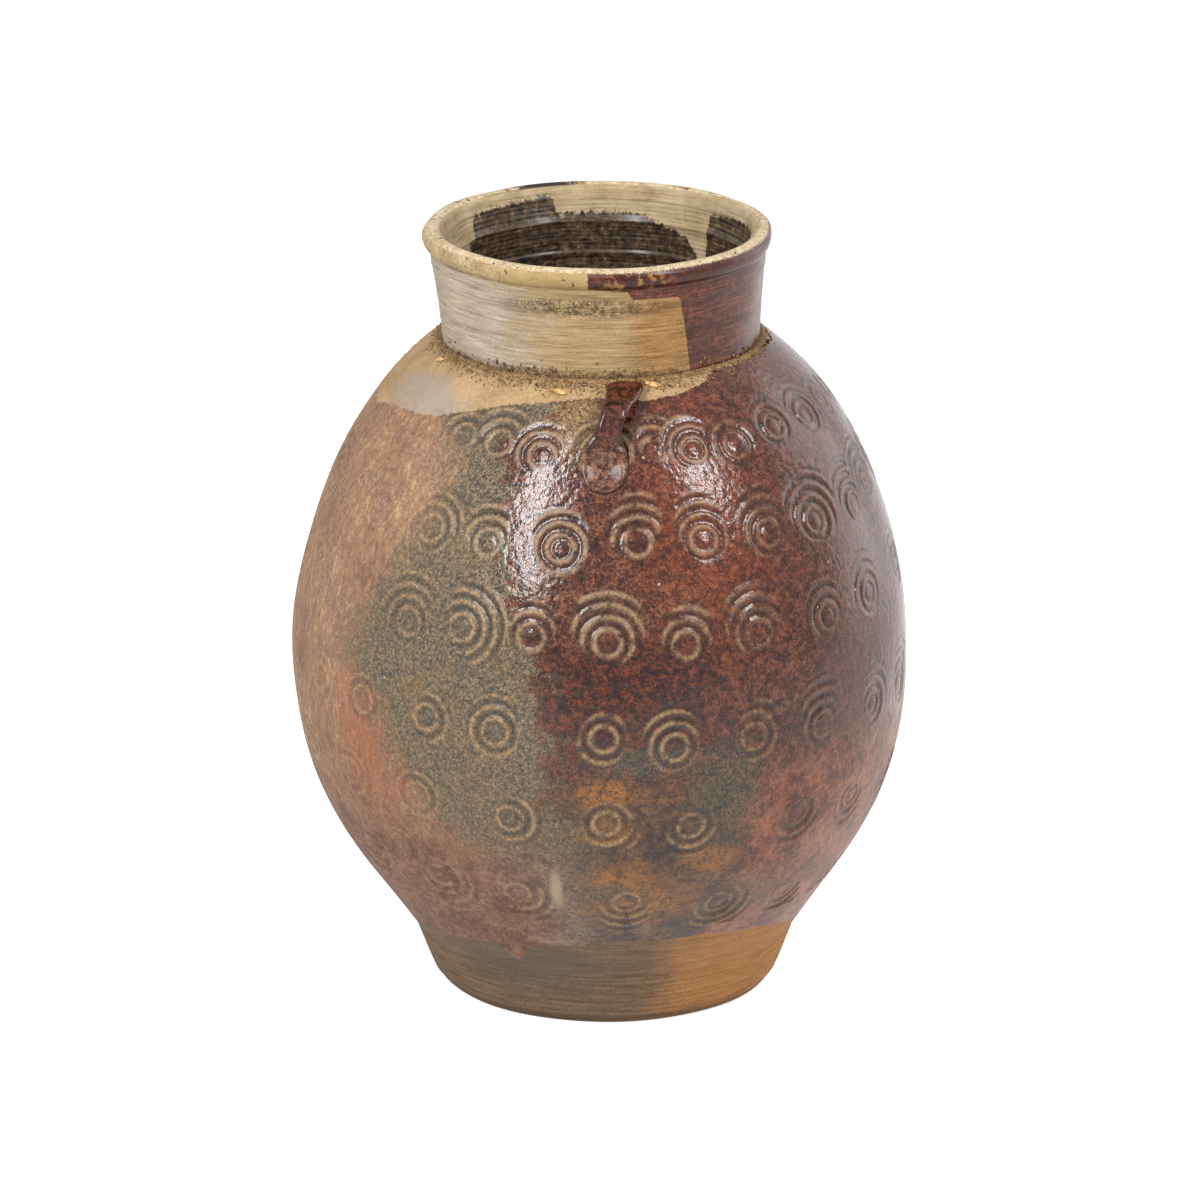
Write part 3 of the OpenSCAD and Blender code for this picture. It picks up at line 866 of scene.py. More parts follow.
class StampTree:
    """Geometry nodes that press a row of ringed stamps into a wall."""

    INPUTS = (("Stamps", "NodeSocketObject", None), ("Ring pitch", "NodeSocketFloat", 0.0071),
              ("First ring", "NodeSocketFloat", 0.008), ("Boss radius", "NodeSocketFloat", 0.0066),
              ("Ring height", "NodeSocketFloat", 0.0013), ("Stamp radius", "NodeSocketFloat", 0.033),
              ("Soft edge", "NodeSocketFloat", 0.00035), ("Material", "NodeSocketMaterial", None))

    def __init__(self) -> None:
        """Build the tree once for all the rows."""
        self.tree = bpy.data.node_groups.new("press_ringed_stamps", "GeometryNodeTree")
        face = self.tree.interface
        face.new_socket(name="Wall", in_out="INPUT", socket_type="NodeSocketGeometry")
        self.keys: dict[str, str] = {}
        for name, kind, value in self.INPUTS:
            socket = face.new_socket(name=name, in_out="INPUT", socket_type=kind)
            self.keys[name] = socket.identifier
            if value is not None:
                socket.default_value = value
        face.new_socket(name="Wall", in_out="OUTPUT", socket_type="NodeSocketGeometry")
        self._wire()

    def _wire(self) -> None:
        """Wire the tree: each stamp in turn, then the press along the wall's normal."""
        b = NodeBench(self.tree)
        given = {s.name: s for s in b.add("NodeGroupInput").node.outputs}
        stamps = b.add("GeometryNodeObjectInfo", {"Object": given["Stamps"]}, "Geometry")
        count = b.add("GeometryNodeAttributeDomainSize", {0: stamps}, "Point Count", component="MESH")
        start = given["Wall"]
        for name in ("relief", "ring_ridge", "ring_groove"):
            start = b.add("GeometryNodeStoreNamedAttribute", {"Geometry": start, "Name": name, "Value": 0.0},
                          data_type="FLOAT", domain="POINT")
        first = self.tree.nodes.new("GeometryNodeRepeatInput")
        last = self.tree.nodes.new("GeometryNodeRepeatOutput")
        first.pair_with_output(last)
        self.tree.links.new(count, first.inputs["Iterations"])
        self.tree.links.new(start, first.inputs["Geometry"])
        number = first.outputs["Iteration"]

        def sampled(value: bpy.types.NodeSocket, kind: str) -> bpy.types.NodeSocket:
            """Value of the current stamp."""
            return b.add("GeometryNodeSampleIndex", {"Geometry": stamps, "Value": value, "Index": number},
                         "Value", data_type=kind, domain="POINT")

        def named(name: str, kind: str) -> bpy.types.NodeSocket:
            """Field of a named attribute."""
            return b.add("GeometryNodeInputNamedAttribute", {"Name": name}, "Attribute", data_type=kind)

        def smooth(value: Any, low: Any, high: Any) -> bpy.types.NodeSocket:
            """Smooth rise of a value from low to high."""
            return b.add(RANGE, {"Value": value, "From Min": low, "From Max": high},
                         interpolation_type="SMOOTHSTEP")

        middle = sampled(b.add("GeometryNodeInputPosition"), "FLOAT_VECTOR")
        square = sampled(named("face", "FLOAT_VECTOR"), "FLOAT_VECTOR")
        press = sampled(named("press", "FLOAT"), "FLOAT")
        worn = sampled(named("worn", "FLOAT"), "FLOAT")
        here = b.add("GeometryNodeInputPosition")
        away = b.add(VECTOR, {0: here, 1: middle}, operation="SUBTRACT")
        proud = b.add(VECTOR, {0: away, 1: square}, "Value", operation="DOT_PRODUCT")
        sink = b.add(MATH, {0: proud, 1: press}, operation="ADD")
        lift = b.add(VECTOR, {0: square, "Scale": proud}, operation="SCALE")
        flat = b.add(VECTOR, {0: away, 1: lift}, operation="SUBTRACT")
        far = b.add(VECTOR, {0: flat}, "Value", operation="LENGTH")

        # Rings: a low boss, then narrow ridges at equal steps
        past = b.add(MATH, {0: far, 1: given["First ring"]}, operation="SUBTRACT")
        turns = b.add(MATH, {0: past, 1: given["Ring pitch"]}, operation="DIVIDE")
        phase = b.add(MATH, {0: turns, 1: 2 * math.pi}, operation="MULTIPLY")
        wave = b.add(MATH, {0: b.add(MATH, {0: phase}, operation="COSINE"), 1: 0.5, 2: 0.5},
                     operation="MULTIPLY_ADD")
        sharp = b.add(MATH, {0: wave, 1: 1.7}, operation="POWER")
        outer = b.add(MATH, {0: turns, 1: -0.5}, operation="GREATER_THAN")
        ring = b.add(MATH, {0: sharp, 1: outer}, operation="MULTIPLY")
        share = b.add(MATH, {0: far, 1: given["Boss radius"]}, operation="DIVIDE")
        bowl = b.add(MATH, {0: share, 1: share}, operation="MULTIPLY")
        boss = b.add(MATH, {0: 0.95, 1: bowl}, operation="SUBTRACT")
        crest = b.add(MATH, {0: ring, 1: boss}, operation="MAXIMUM")

        # Contact with the wall, and the clay's new height there
        near = smooth(far, given["Stamp radius"], b.add(MATH, {0: given["Stamp radius"], 1: 0.002},
                                                        operation="SUBTRACT"))
        touch = smooth(sink, 0.0, given["Soft edge"])
        contact = b.add(MATH, {0: near, 1: touch}, operation="MULTIPLY")
        height = b.add(MATH, {0: crest, 1: given["Ring height"]}, operation="MULTIPLY")
        height = b.add(MATH, {0: height, 1: worn}, operation="MULTIPLY")
        pressed = b.add(MATH, {0: height, 1: sink}, operation="SUBTRACT")
        pressed = b.add(MATH, {0: pressed, 1: 0.00012, 2: 0.0003}, operation="SMOOTH_MIN")
        store = first.outputs["Geometry"]
        strength = b.add(MATH, {0: contact, 1: worn}, operation="MULTIPLY")
        # Valley mask of the rings, used to paint shade into their valleys
        dip = b.add(MATH, {0: 1.0, 1: crest}, operation="SUBTRACT")
        for name, fresh, share in (("relief", pressed, contact), ("ring_ridge", ring, strength),
                                   ("ring_groove", dip, strength)):
            mixed = b.add(MIX, {"Factor": share, "A": named(name, "FLOAT"), "B": fresh}, "Result",
                          data_type="FLOAT")
            store = b.add("GeometryNodeStoreNamedAttribute", {"Geometry": store, "Name": name, "Value": mixed},
                          data_type="FLOAT", domain="POINT")
        self.tree.links.new(store, last.inputs["Geometry"])

        offset = b.add(VECTOR, {0: named("push", "FLOAT_VECTOR"), "Scale": named("relief", "FLOAT")},
                       operation="SCALE")
        moved = b.add("GeometryNodeSetPosition", {"Geometry": last.outputs["Geometry"], "Offset": offset})
        real = b.add("GeometryNodeRealizeInstances", {0: moved})
        dressed = b.add("GeometryNodeSetMaterial", {"Geometry": real, "Material": given["Material"]})
        b.add("NodeGroupOutput", {0: dressed})

    def press(self, wall: bpy.types.Object, stamps: bpy.types.Object, material: bpy.types.Material) -> None:
        """Press a row of stamps into a wall and keep the result as its mesh.

        Args:
            wall: Wall piece, with an outside attribute.
            stamps: Object with one point for each stamp.
            material: Finish of the wall.
        """
        modifier = wall.modifiers.new("press", "NODES")
        modifier.node_group = self.tree
        modifier[self.keys["Stamps"]] = stamps
        modifier[self.keys["Material"]] = material
        bake(wall)


def bake(piece: bpy.types.Object) -> None:
    """Replace a piece's mesh by what its modifiers make of it, and remove them."""
    bpy.context.view_layer.update()
    graph = bpy.context.evaluated_depsgraph_get()
    made = bpy.data.meshes.new_from_object(piece.evaluated_get(graph), preserve_all_data_layers=True,
                                           depsgraph=graph)
    piece.modifiers.clear()
    piece.data = made


@dataclass(frozen=True)
class StampRow:
    """One row of stamps: where they show in front, and how the stamp was held.

    Attributes:
        node: Name of the course's node.
        height: Height of the row in millimetres.
        slope: How far the row drops from its middle to the right, in millimetres.
        count: Stamps round the jar.
        seen: Angles of the stamps that face the camera.
        lean_up: Tilt of the stamp that sinks its upper side, in degrees.
        lean_right: Tilt that sinks its right side, in degrees.
        press: Depth of the press at the middle, in millimetres.
    """

    node: str
    height: float
    slope: float
    count: int
    seen: tuple[float, ...]
    lean_up: float
    lean_right: float
    press: float

    def angles(self, rng: np.random.Generator) -> np.ndarray:
        """Angles of all the stamps: those seen, and evenly spaced ones between and behind."""
        pitch = 360 / self.count
        turns = list(self.seen)
        ring = turns + [turns[0] + 360]
        for low, high in zip(ring[:-1], ring[1:]):
            extra = max(0, round((high - low) / pitch) - 1)
            step = (high - low) / (extra + 1)
            turns += [low + step * (i + 1) + rng.normal(0, 0.8) for i in range(extra)]
        return np.array(sorted(turns))


@dataclass
class StampedWall:
    """The six stamped courses of the wall."""

    profile: JarProfile
    warp: HandWarp
    around: int = 1180
    rows_out: int = 66
    rows_in: int = 8
    seed: int = 7
    rows: tuple[StampRow, ...] = (
        StampRow("stamped_course_1", 101, 13, 18, (-55, -36, -18, 5, 26, 45), -2.0, 1.2, 0.85),
        StampRow("stamped_course_2", 157, 12, 20, (-54, -36, -17, 1, 17, 40, 57), -1.4, 1.0, 0.80),
        StampRow("stamped_course_3", 210, 10, 24, (-33, -19, 0.7, 13.7, 29, 45, 61), 0.9, 0.5, 0.72),
        StampRow("stamped_course_4", 270, 3, 24, (-70, -58, -39, -27, -13, 1.3, 16, 31, 48, 63, 81.5),
                 1.5, 0.2, 0.82),
        StampRow("stamped_course_5", 323, 2, 24, (-67, -55, -38, -24, -8.5, 7.4, 21.5, 37, 51, 67, 79),
                 2.1, 0.1, 0.86),
        StampRow("stamped_course_6", 372, 0, 26, (-50, -38, -27, -15, 1, 23.4, 35.5, 50, 65), 1.7, -0.2, 0.86),
    )

    def section(self, low: float, high: float) -> tuple[np.ndarray, np.ndarray]:
        """Closed section of one course between its joints.

        Args:
            low: Height of its lower joint on the outside.
            high: Height of its upper joint on the outside.

        Returns:
            The section, and the outward direction of each of its points, nothing but on the outside.
        """
        p = self.profile
        out = p.inward(np.linspace(low, high, self.rows_out), 0.0)
        through = p.wall / math.cos(math.radians(p.scarf))
        tops = p.inward(np.full(2, high), np.array([through / 2, through]), p.scarf)
        inner = p.inward(np.linspace(high, low, self.rows_in)[1:-1], p.wall)
        low_end = p.inward(np.full(2, low), np.array([through, through / 2]), p.scarf)
        section = np.concatenate([out, tops, inner, low_end])
        lean = p.lean(np.linspace(low, high, self.rows_out))
        push = np.zeros_like(section)
        push[:len(out)] = np.stack([np.cos(lean), np.sin(lean)], axis=1)
        return section, push

    def stamp_points(self, row: StampRow, all_rows: Sequence[StampRow], rng: np.random.Generator) -> np.ndarray:
        """Stamps of a row as rows of centre, face direction, press and wear."""
        p = self.profile
        turns = row.angles(rng)
        height = row.height - row.slope * np.sin(np.radians(turns)) + rng.normal(0, 1.5, len(turns))
        lean = p.lean(height)
        radius = p.radius(height)
        angle = np.radians(turns - VIEW_TURN)
        radial = np.stack([np.sin(angle), -np.cos(angle), np.zeros_like(angle)], axis=1)
        along = np.stack([np.cos(angle), np.sin(angle), np.zeros_like(angle)], axis=1)
        normal = radial * np.cos(lean)[:, None] + np.array([0, 0, 1.0]) * np.sin(lean)[:, None]
        upward = -radial * np.sin(lean)[:, None] + np.array([0, 0, 1.0]) * np.cos(lean)[:, None]
        up = np.radians(row.lean_up + rng.normal(0, 0.5, len(turns)))[:, None]
        right = np.radians(row.lean_right + rng.normal(0, 0.6, len(turns)))[:, None]
        face = normal + upward * np.tan(up) + along * np.tan(right)
        face /= np.linalg.norm(face, axis=1)[:, None]
        centre = radial * radius[:, None] + np.array([0, 0, 1.0]) * height[:, None]
        centre = self.warp.move(centre)
        press = row.press + rng.normal(0, 0.10, len(turns))
        worn = np.clip(0.95 - 0.35 * ease(20, 60, -turns) + rng.normal(0, 0.08, len(turns)), 0.35, 1.0)
        return np.concatenate([centre, face, press[:, None], worn[:, None]], axis=1)

    def build(self, press: StampTree, finish: bpy.types.Material) -> list[bpy.types.Object]:
        """Build, press and finish all six courses.

        Args:
            press: Tree that presses a row.
            finish: Material of the wall.

        Returns:
            The six pieces.
        """
        rng = np.random.default_rng(self.seed)
        pressed = [self.stamp_points(row, self.rows, rng) for row in self.rows]
        made = []
        p = self.profile
        for number, row in enumerate(self.rows):
            low = p.plain_top + number * p.course_h
            section, push = self.section(low, low + p.course_h)
            mesh = revolve(row.node, section, self.around, self.warp)
            mark(mesh, "push", round_vectors(push, self.around))
            piece = new_piece("jar_" + row.node, mesh)
            near = np.concatenate([pressed[i] for i in (number - 1, number, number + 1)
                                   if 0 <= i < len(pressed)])
            points = bpy.data.meshes.new("stamps")
            points.vertices.add(len(near))
            points.vertices.foreach_set("co", (near[:, :3] * MM).astype(np.float32).ravel())
            mark(points, "face", near[:, 3:6])
            mark(points, "press", near[:, 6] * MM)
            mark(points, "worn", near[:, 7])
            stamps = new_piece("stamps_" + row.node, points)
            press.press(piece, stamps, finish)
            bpy.data.objects.remove(stamps)
            settle(piece, Slot.BODY, row.node)
            made.append(piece)
        return made


def settle(piece: bpy.types.Object, slot: Slot, *nodes: str) -> None:
    """Let a piece ride on the jar and stand for its nodes.

    Args:
        piece: The finished piece.
        slot: Material slot of the record; not used.
        nodes: Nodes of the construction that it replaces.
    """
    piece.data.set_sharp_from_angle(angle=math.radians(SHARP_FROM))
    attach(piece, BODY)
    if nodes:
        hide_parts(*nodes)
    LOG.info("%s: %d faces", piece.name, len(piece.data.polygons))


@dataclass
class Foot:
    """Floor disc, foot ring and the plain course above it."""

    profile: JarProfile
    warp: HandWarp
    around: int = 540

    def build(self, clay: bpy.types.Material, glaze: bpy.types.Material) -> list[bpy.types.Object]:
        """Build the foot's three pieces.

        Args:
            clay: Material of the bare foot.
            glaze: Material of the plain course, glazed but for its lower edge.

        Returns:
            The three pieces.
        """
        p = self.profile
        made = []

        # Floor disc with a rounded lower edge
        turn = np.radians(np.linspace(-90, -15, 8))
        edge = np.stack([p.foot_r - p.foot_edge_r + p.foot_edge_r * np.cos(turn),
                         p.foot_edge_r + p.foot_edge_r * np.sin(turn)], axis=1)
        seat_z = p.floor_t / 2
        under = np.stack([np.linspace(2, p.foot_r - p.foot_edge_r - 2, 30), np.zeros(30)], axis=1)
        under[:, 1] += 0.5 * np.sin(under[:, 0] / 7) ** 2 * ease(90, 60, under[:, 0])
        section = np.concatenate([under, edge, [[p.radius(seat_z).item(), seat_z]],
                                  [[p.foot_r - p.foot_wall - 8, p.floor_t]],
                                  np.stack([np.linspace(75, 2, 12), np.full(12, p.floor_t)], axis=1)])
        mesh = revolve("base_disc", section, 180, self.warp)
        disc = new_piece("jar_base_disc", mesh)
        disc.data.materials.append(clay)
        settle(disc, Slot.FOOT, "base_disc")
        made.append(disc)

        # Foot ring, with a slight hollow under the break to the wall
        z = np.linspace(seat_z, p.foot_h, 34)
        out = p.inward(z, 0.0)
        out[:, 0] += 0.35 * np.sin(z * 1.9) * ease(6, 14, z)
        top = p.inward(np.array([p.foot_h]), p.wall * 1.1, p.scarf)
        inner = np.array([[p.foot_r - p.foot_wall + 7, p.floor_t + 12], [p.foot_r - p.foot_wall - 2, p.floor_t + 2],
                          [p.foot_r - p.foot_wall - 8, p.floor_t]])
        mesh = revolve("foot_ring", np.concatenate([out, top, inner]), self.around, self.warp)
        ring = new_piece("jar_foot_ring", mesh)
        ring.data.materials.append(clay)
        settle(ring, Slot.FOOT, "foot_ring")
        made.append(ring)

        # Plain course
        out = p.inward(np.linspace(p.foot_h, p.plain_top, 40), 0.0)
        through = p.wall / math.cos(math.radians(p.scarf))
        top = p.inward(np.array([p.plain_top]), through, p.scarf)
        inner = p.inward(np.array([p.foot_h]), p.wall * 1.1, p.scarf)
        mesh = revolve("plain_course", np.concatenate([out, top, inner]), self.around, self.warp)
        plain = new_piece("jar_plain_course", mesh)
        plain.data.materials.append(glaze)
        settle(plain, Slot.BODY, "plain_course")
        made.append(plain)
        return made


@dataclass
class Neck:
    """Collar neck, its lip and the seam round its root."""

    profile: JarProfile
    warp: HandWarp
    around: int = 600
    seam_r: float = 3.3

    def collar(self, finish: bpy.types.Material) -> bpy.types.Object:
        """Build the thrown collar, with throwing ridges inside.

        Args:
            finish: Material of the neck.

        Returns:
            The piece.
        """
        p = self.profile
        bore = p.neck_r - p.neck_wall
        z = np.linspace(p.top_joint(p.neck_r), p.neck_top + 1.5, 72)
        share = (z - p.body_top) / p.neck_h
        out_r = p.neck_r - 0.4 + p.neck_flare * np.clip(share, 0, None) ** 1.3
        out_r += 0.12 * np.sin(z * 2.1) + 0.10 * np.sin(z * 3.7 + 1) + 0.35 * np.exp(-((z - 452) / 2.2) ** 2)
        zi = np.linspace(p.neck_top + 5, p.top_joint(bore), 88)
        in_r = bore + 3.0 * ease(p.neck_top - 12, p.neck_top + 5, zi)
        in_r -= 0.9 * np.exp(-((zi - 452) / 1.6) ** 2) + 1.1 * np.exp(-((zi - 431) / 1.8) ** 2)
        in_r -= 0.35 * np.exp(-((zi - 441) / 1.5) ** 2) + 0.16 * np.sin(zi * 2.3)
        section = np.concatenate([np.stack([out_r, z], axis=1), np.stack([in_r, zi], axis=1)])
        mesh = revolve("neck_collar", section, self.around, self.warp)
        piece = new_piece("jar_neck_collar", mesh)
        piece.data.materials.append(finish)
        settle(piece, Slot.NECK, "neck_collar")
        return piece

    def lip(self, finish: bpy.types.Material) -> bpy.types.Object:
        """Build the rolled lip: full and round, drawn in to a groove underneath.

        Args:
            finish: Material of the neck.

        Returns:
            The piece.
        """
        p = self.profile
        lip_r = p.neck_r + p.neck_flare + p.lip_proud
        mid = lip_r - p.lip_wall / 2
        half = p.lip_wall / 2
        turn = np.radians(np.linspace(0, 180, 40))
        crown = np.stack([mid + half * np.cos(turn), p.height - half + half * np.sin(turn)], axis=1)
        start = np.array([[p.neck_r + p.neck_flare - 1.2, p.neck_top + 0.5],
                          [p.neck_r + p.neck_flare - 0.6, p.neck_top + 1.4],
                          [p.neck_r + p.neck_flare + 1.2, p.neck_top + 2.4],
                          [lip_r - 0.9, p.neck_top + 4.2], [lip_r - 0.1, p.neck_top + 7.0]])
        inner = np.array([[lip_r - p.lip_wall - 0.6, p.neck_top + 7], [p.neck_r - p.neck_wall + 3.2, p.neck_top + 5],
                          [p.neck_r - p.neck_wall + 4.5, p.neck_top + 1]])
        section = resample(np.concatenate([start, crown, inner]), 0.9)

        def wobble(angle: np.ndarray, number: np.ndarray) -> np.ndarray:
            """Unevenness of the lip round the mouth."""
            return 0.35 * np.sin(3 * angle + 0.6) + 0.18 * np.sin(8 * angle) + 0.10 * np.sin(19 * angle + number / 9)

        mesh = revolve("rolled_lip", section, 720, self.warp, wobble)
        piece = new_piece("jar_rolled_lip", mesh)
        piece.data.materials.append(finish)
        settle(piece, Slot.NECK, "rolled_lip")
        return piece

    def seam(self, finish: bpy.types.Material) -> bpy.types.Object:
        """Build the crumbly roll of clay in the angle round the neck's root.

        Args:
            finish: Material of the crumbs.

        Returns:
            The piece.
        """
        p = self.profile
        turn = np.radians(np.linspace(-120, 200, 22, endpoint=False))
        section = np.stack([p.neck_r + 0.6 + self.seam_r * np.cos(turn),
                            p.body_top - 0.4 + 0.8 * self.seam_r * np.sin(turn)], axis=1)
        rng = np.random.default_rng(11)
        lumps = [(rng.integers(7, 160), rng.uniform(0, 6.28), rng.uniform(0.08, 0.24)) for _ in range(26)]

        def wobble(angle: np.ndarray, number: np.ndarray) -> np.ndarray:
            """Lumps along the roll."""
            total = np.zeros_like(angle)
            for times, start, size in lumps:
                total = total + size * np.sin(times * angle + start + number * 0.7)
            return total

        mesh = revolve("neck_seam_roll", section, self.around, self.warp, wobble)
        piece = new_piece("jar_neck_seam_roll", mesh)
        piece.data.materials.append(finish)
        settle(piece, Slot.NECK, "neck_seam_roll")
        return piece


def smooth_line(line: np.ndarray, times: int) -> np.ndarray:
    """Round the corners of a broken line by cutting them, a number of times."""
    for _ in range(times):
        near = 0.75 * line[:-1] + 0.25 * line[1:]
        far = 0.25 * line[:-1] + 0.75 * line[1:]
        middle = np.stack([near, far], axis=1).reshape(-1, 2)
        line = np.concatenate([line[:1], middle, line[-1:]])
    return line


def resample(line: np.ndarray, step: float) -> np.ndarray:
    """Spread points evenly along a broken line.

    Args:
        line: Points of the line.
        step: Distance wanted between points.

    Returns:
        The new points, from the first to the last.
    """
    steps = np.linalg.norm(np.diff(line, axis=0), axis=1)
    travelled = np.concatenate([[0], np.cumsum(steps)])
    places = np.linspace(0, travelled[-1], max(2, int(round(travelled[-1] / step)) + 1))
    return np.stack([np.interp(places, travelled, line[:, i]) for i in range(line.shape[1])], axis=1)


@dataclass
class CordLug:
    """A strap of clay arched off the shoulder and thumbed down at its foot."""

    profile: JarProfile
    warp: HandWarp
    node: str
    turned: bool
    eye_drop: float = 20.0
    eye_r: float = 10.0
    strap_t: float = 7.0
    root_w: float = 21.5
    waist_w: float = 15.5
    pad_w: float = 29.5
    pad_t: float = 4.0
    pad_drop: float = 51.0
    root_x: float = 6.0
    sway: float = 17.0
    across: int = 56

    def path(self) -> np.ndarray:
        """Middle line of the strap as reach and height, from its root to the tip of its pad."""
        p = self.profile
        eye_z = p.body_top - self.eye_drop
        eye_reach = p.radius(eye_z).item()
        mid_r = self.eye_r + self.strap_t / 2
        arch = np.radians(np.linspace(100, 5, 16))
        ring = np.stack([eye_reach + mid_r * np.cos(arch), eye_z + 1.5 + mid_r * np.sin(arch)], axis=1)
        low = p.body_top - self.pad_drop
        pad_z = np.linspace(eye_z - self.eye_r - 8, low - 2, 14)
        pad = p.inward(pad_z, -0.4)
        root = np.array([[p.neck_r + 5, p.body_top - 1.5], [p.neck_r + 12, p.body_top - 0.5]])
        return resample(smooth_line(np.concatenate([root, ring, pad]), 3), 1.0)

    def build(self, finish: bpy.types.Material) -> bpy.types.Object:
        """Build the lug.

        Args:
            finish: Material of the lug.

        Returns:
            The piece.
        """
        line = self.path()
        count = len(line)
        tangent = np.gradient(line, axis=0)
        tangent /= np.linalg.norm(tangent, axis=1)[:, None]
        outward = np.stack([-tangent[:, 1], tangent[:, 0]], axis=1)
        height = line[:, 1]
        low = height[-1]
        passed = np.concatenate([[0], np.cumsum(np.linalg.norm(np.diff(line, axis=0), axis=1))])
        drop = passed / passed[-1]
        half = (self.root_w + (self.waist_w - self.root_w) * ease(0.02, 0.48, drop)
                + (self.pad_w - self.waist_w) * ease(0.50, 0.76, drop)) / 2
        tip = np.clip((height - low) / (self.pad_w / 2), 0, 1)
        half = half * np.sqrt(1 - (1 - tip) ** 2 + 1e-4)
        thick = self.strap_t / 2 + (self.pad_t / 2 + 0.9 - self.strap_t / 2) * ease(0.55, 0.76, drop)
        thick = thick * (0.35 + 0.65 * ease(0, 0.12, tip))
        middle = self.root_x - self.sway * ease(-0.02, 0.78, drop)
        turn = np.linspace(0, 2 * math.pi, self.across, endpoint=False)
        wide = np.sign(np.cos(turn)) * np.abs(np.cos(turn)) ** 0.75
        deep = np.sign(np.sin(turn)) * np.abs(np.sin(turn)) ** 0.75
        side = middle[:, None] + half[:, None] * wide[None, :]
        lift = thick[:, None] * deep[None, :]
        off = side - middle[:, None]
        thumb = np.exp(-(off / 8.5) ** 2 - ((drop[:, None] - 0.84) / 0.08) ** 2)
        rim = np.exp(-((np.abs(off) - 11.0) / 3.0) ** 2) * ease(0.70, 0.82, drop)[:, None]
        crease = np.exp(-((drop[:, None] - 0.60 - 0.004 * off) / 0.03) ** 2)
        hollow = np.exp(-(off / 4.5) ** 2) * ease(0.05, 0.2, drop)[:, None] * ease(0.58, 0.45, drop)[:, None]
        front = deep[None, :] > 0
        lift = lift + front * (1.0 * rim - 2.2 * thumb - 1.6 * crease - 0.9 * hollow)
        reach = line[:, :1] + outward[:, :1] * lift
        z = line[:, 1:] + outward[:, 1:] * lift
        points = np.stack([side, -reach, z], axis=-1)
        cap_a = points[:1].mean(axis=1, keepdims=True) + 0.02 * (points[:1] - points[:1].mean(axis=1, keepdims=True))
        cap_b = points[-1:].mean(axis=1, keepdims=True) + 0.02 * (points[-1:] - points[-1:].mean(axis=1, keepdims=True))
        points = np.concatenate([cap_a, points, cap_b]).reshape(-1, 3)
        if self.turned:
            points = points * np.array([-1, -1, 1])
        mesh = grid_mesh(self.node, self.warp.move(points), self.across, count + 2, False)
        tidy = bmesh_tidy(mesh)
        piece = new_piece("jar_" + self.node, tidy)
        piece.data.materials.append(finish)
        settle(piece, Slot.LUG, self.node)
        return piece


def bmesh_tidy(mesh: bpy.types.Mesh) -> bpy.types.Mesh:
    """Close the open ends of a mesh, merge its doubles and turn its faces outward."""
    import bmesh
    work = bmesh.new()
    work.from_mesh(mesh)
    bmesh.ops.remove_doubles(work, verts=work.verts, dist=0.01 * MM)
    bmesh.ops.holes_fill(work, edges=[e for e in work.edges if e.is_boundary], sides=0)
    bmesh.ops.recalc_face_normals(work, faces=work.faces)
    for shape in work.faces:
        shape.smooth = True
    work.to_mesh(mesh)
    work.free()
    return mesh


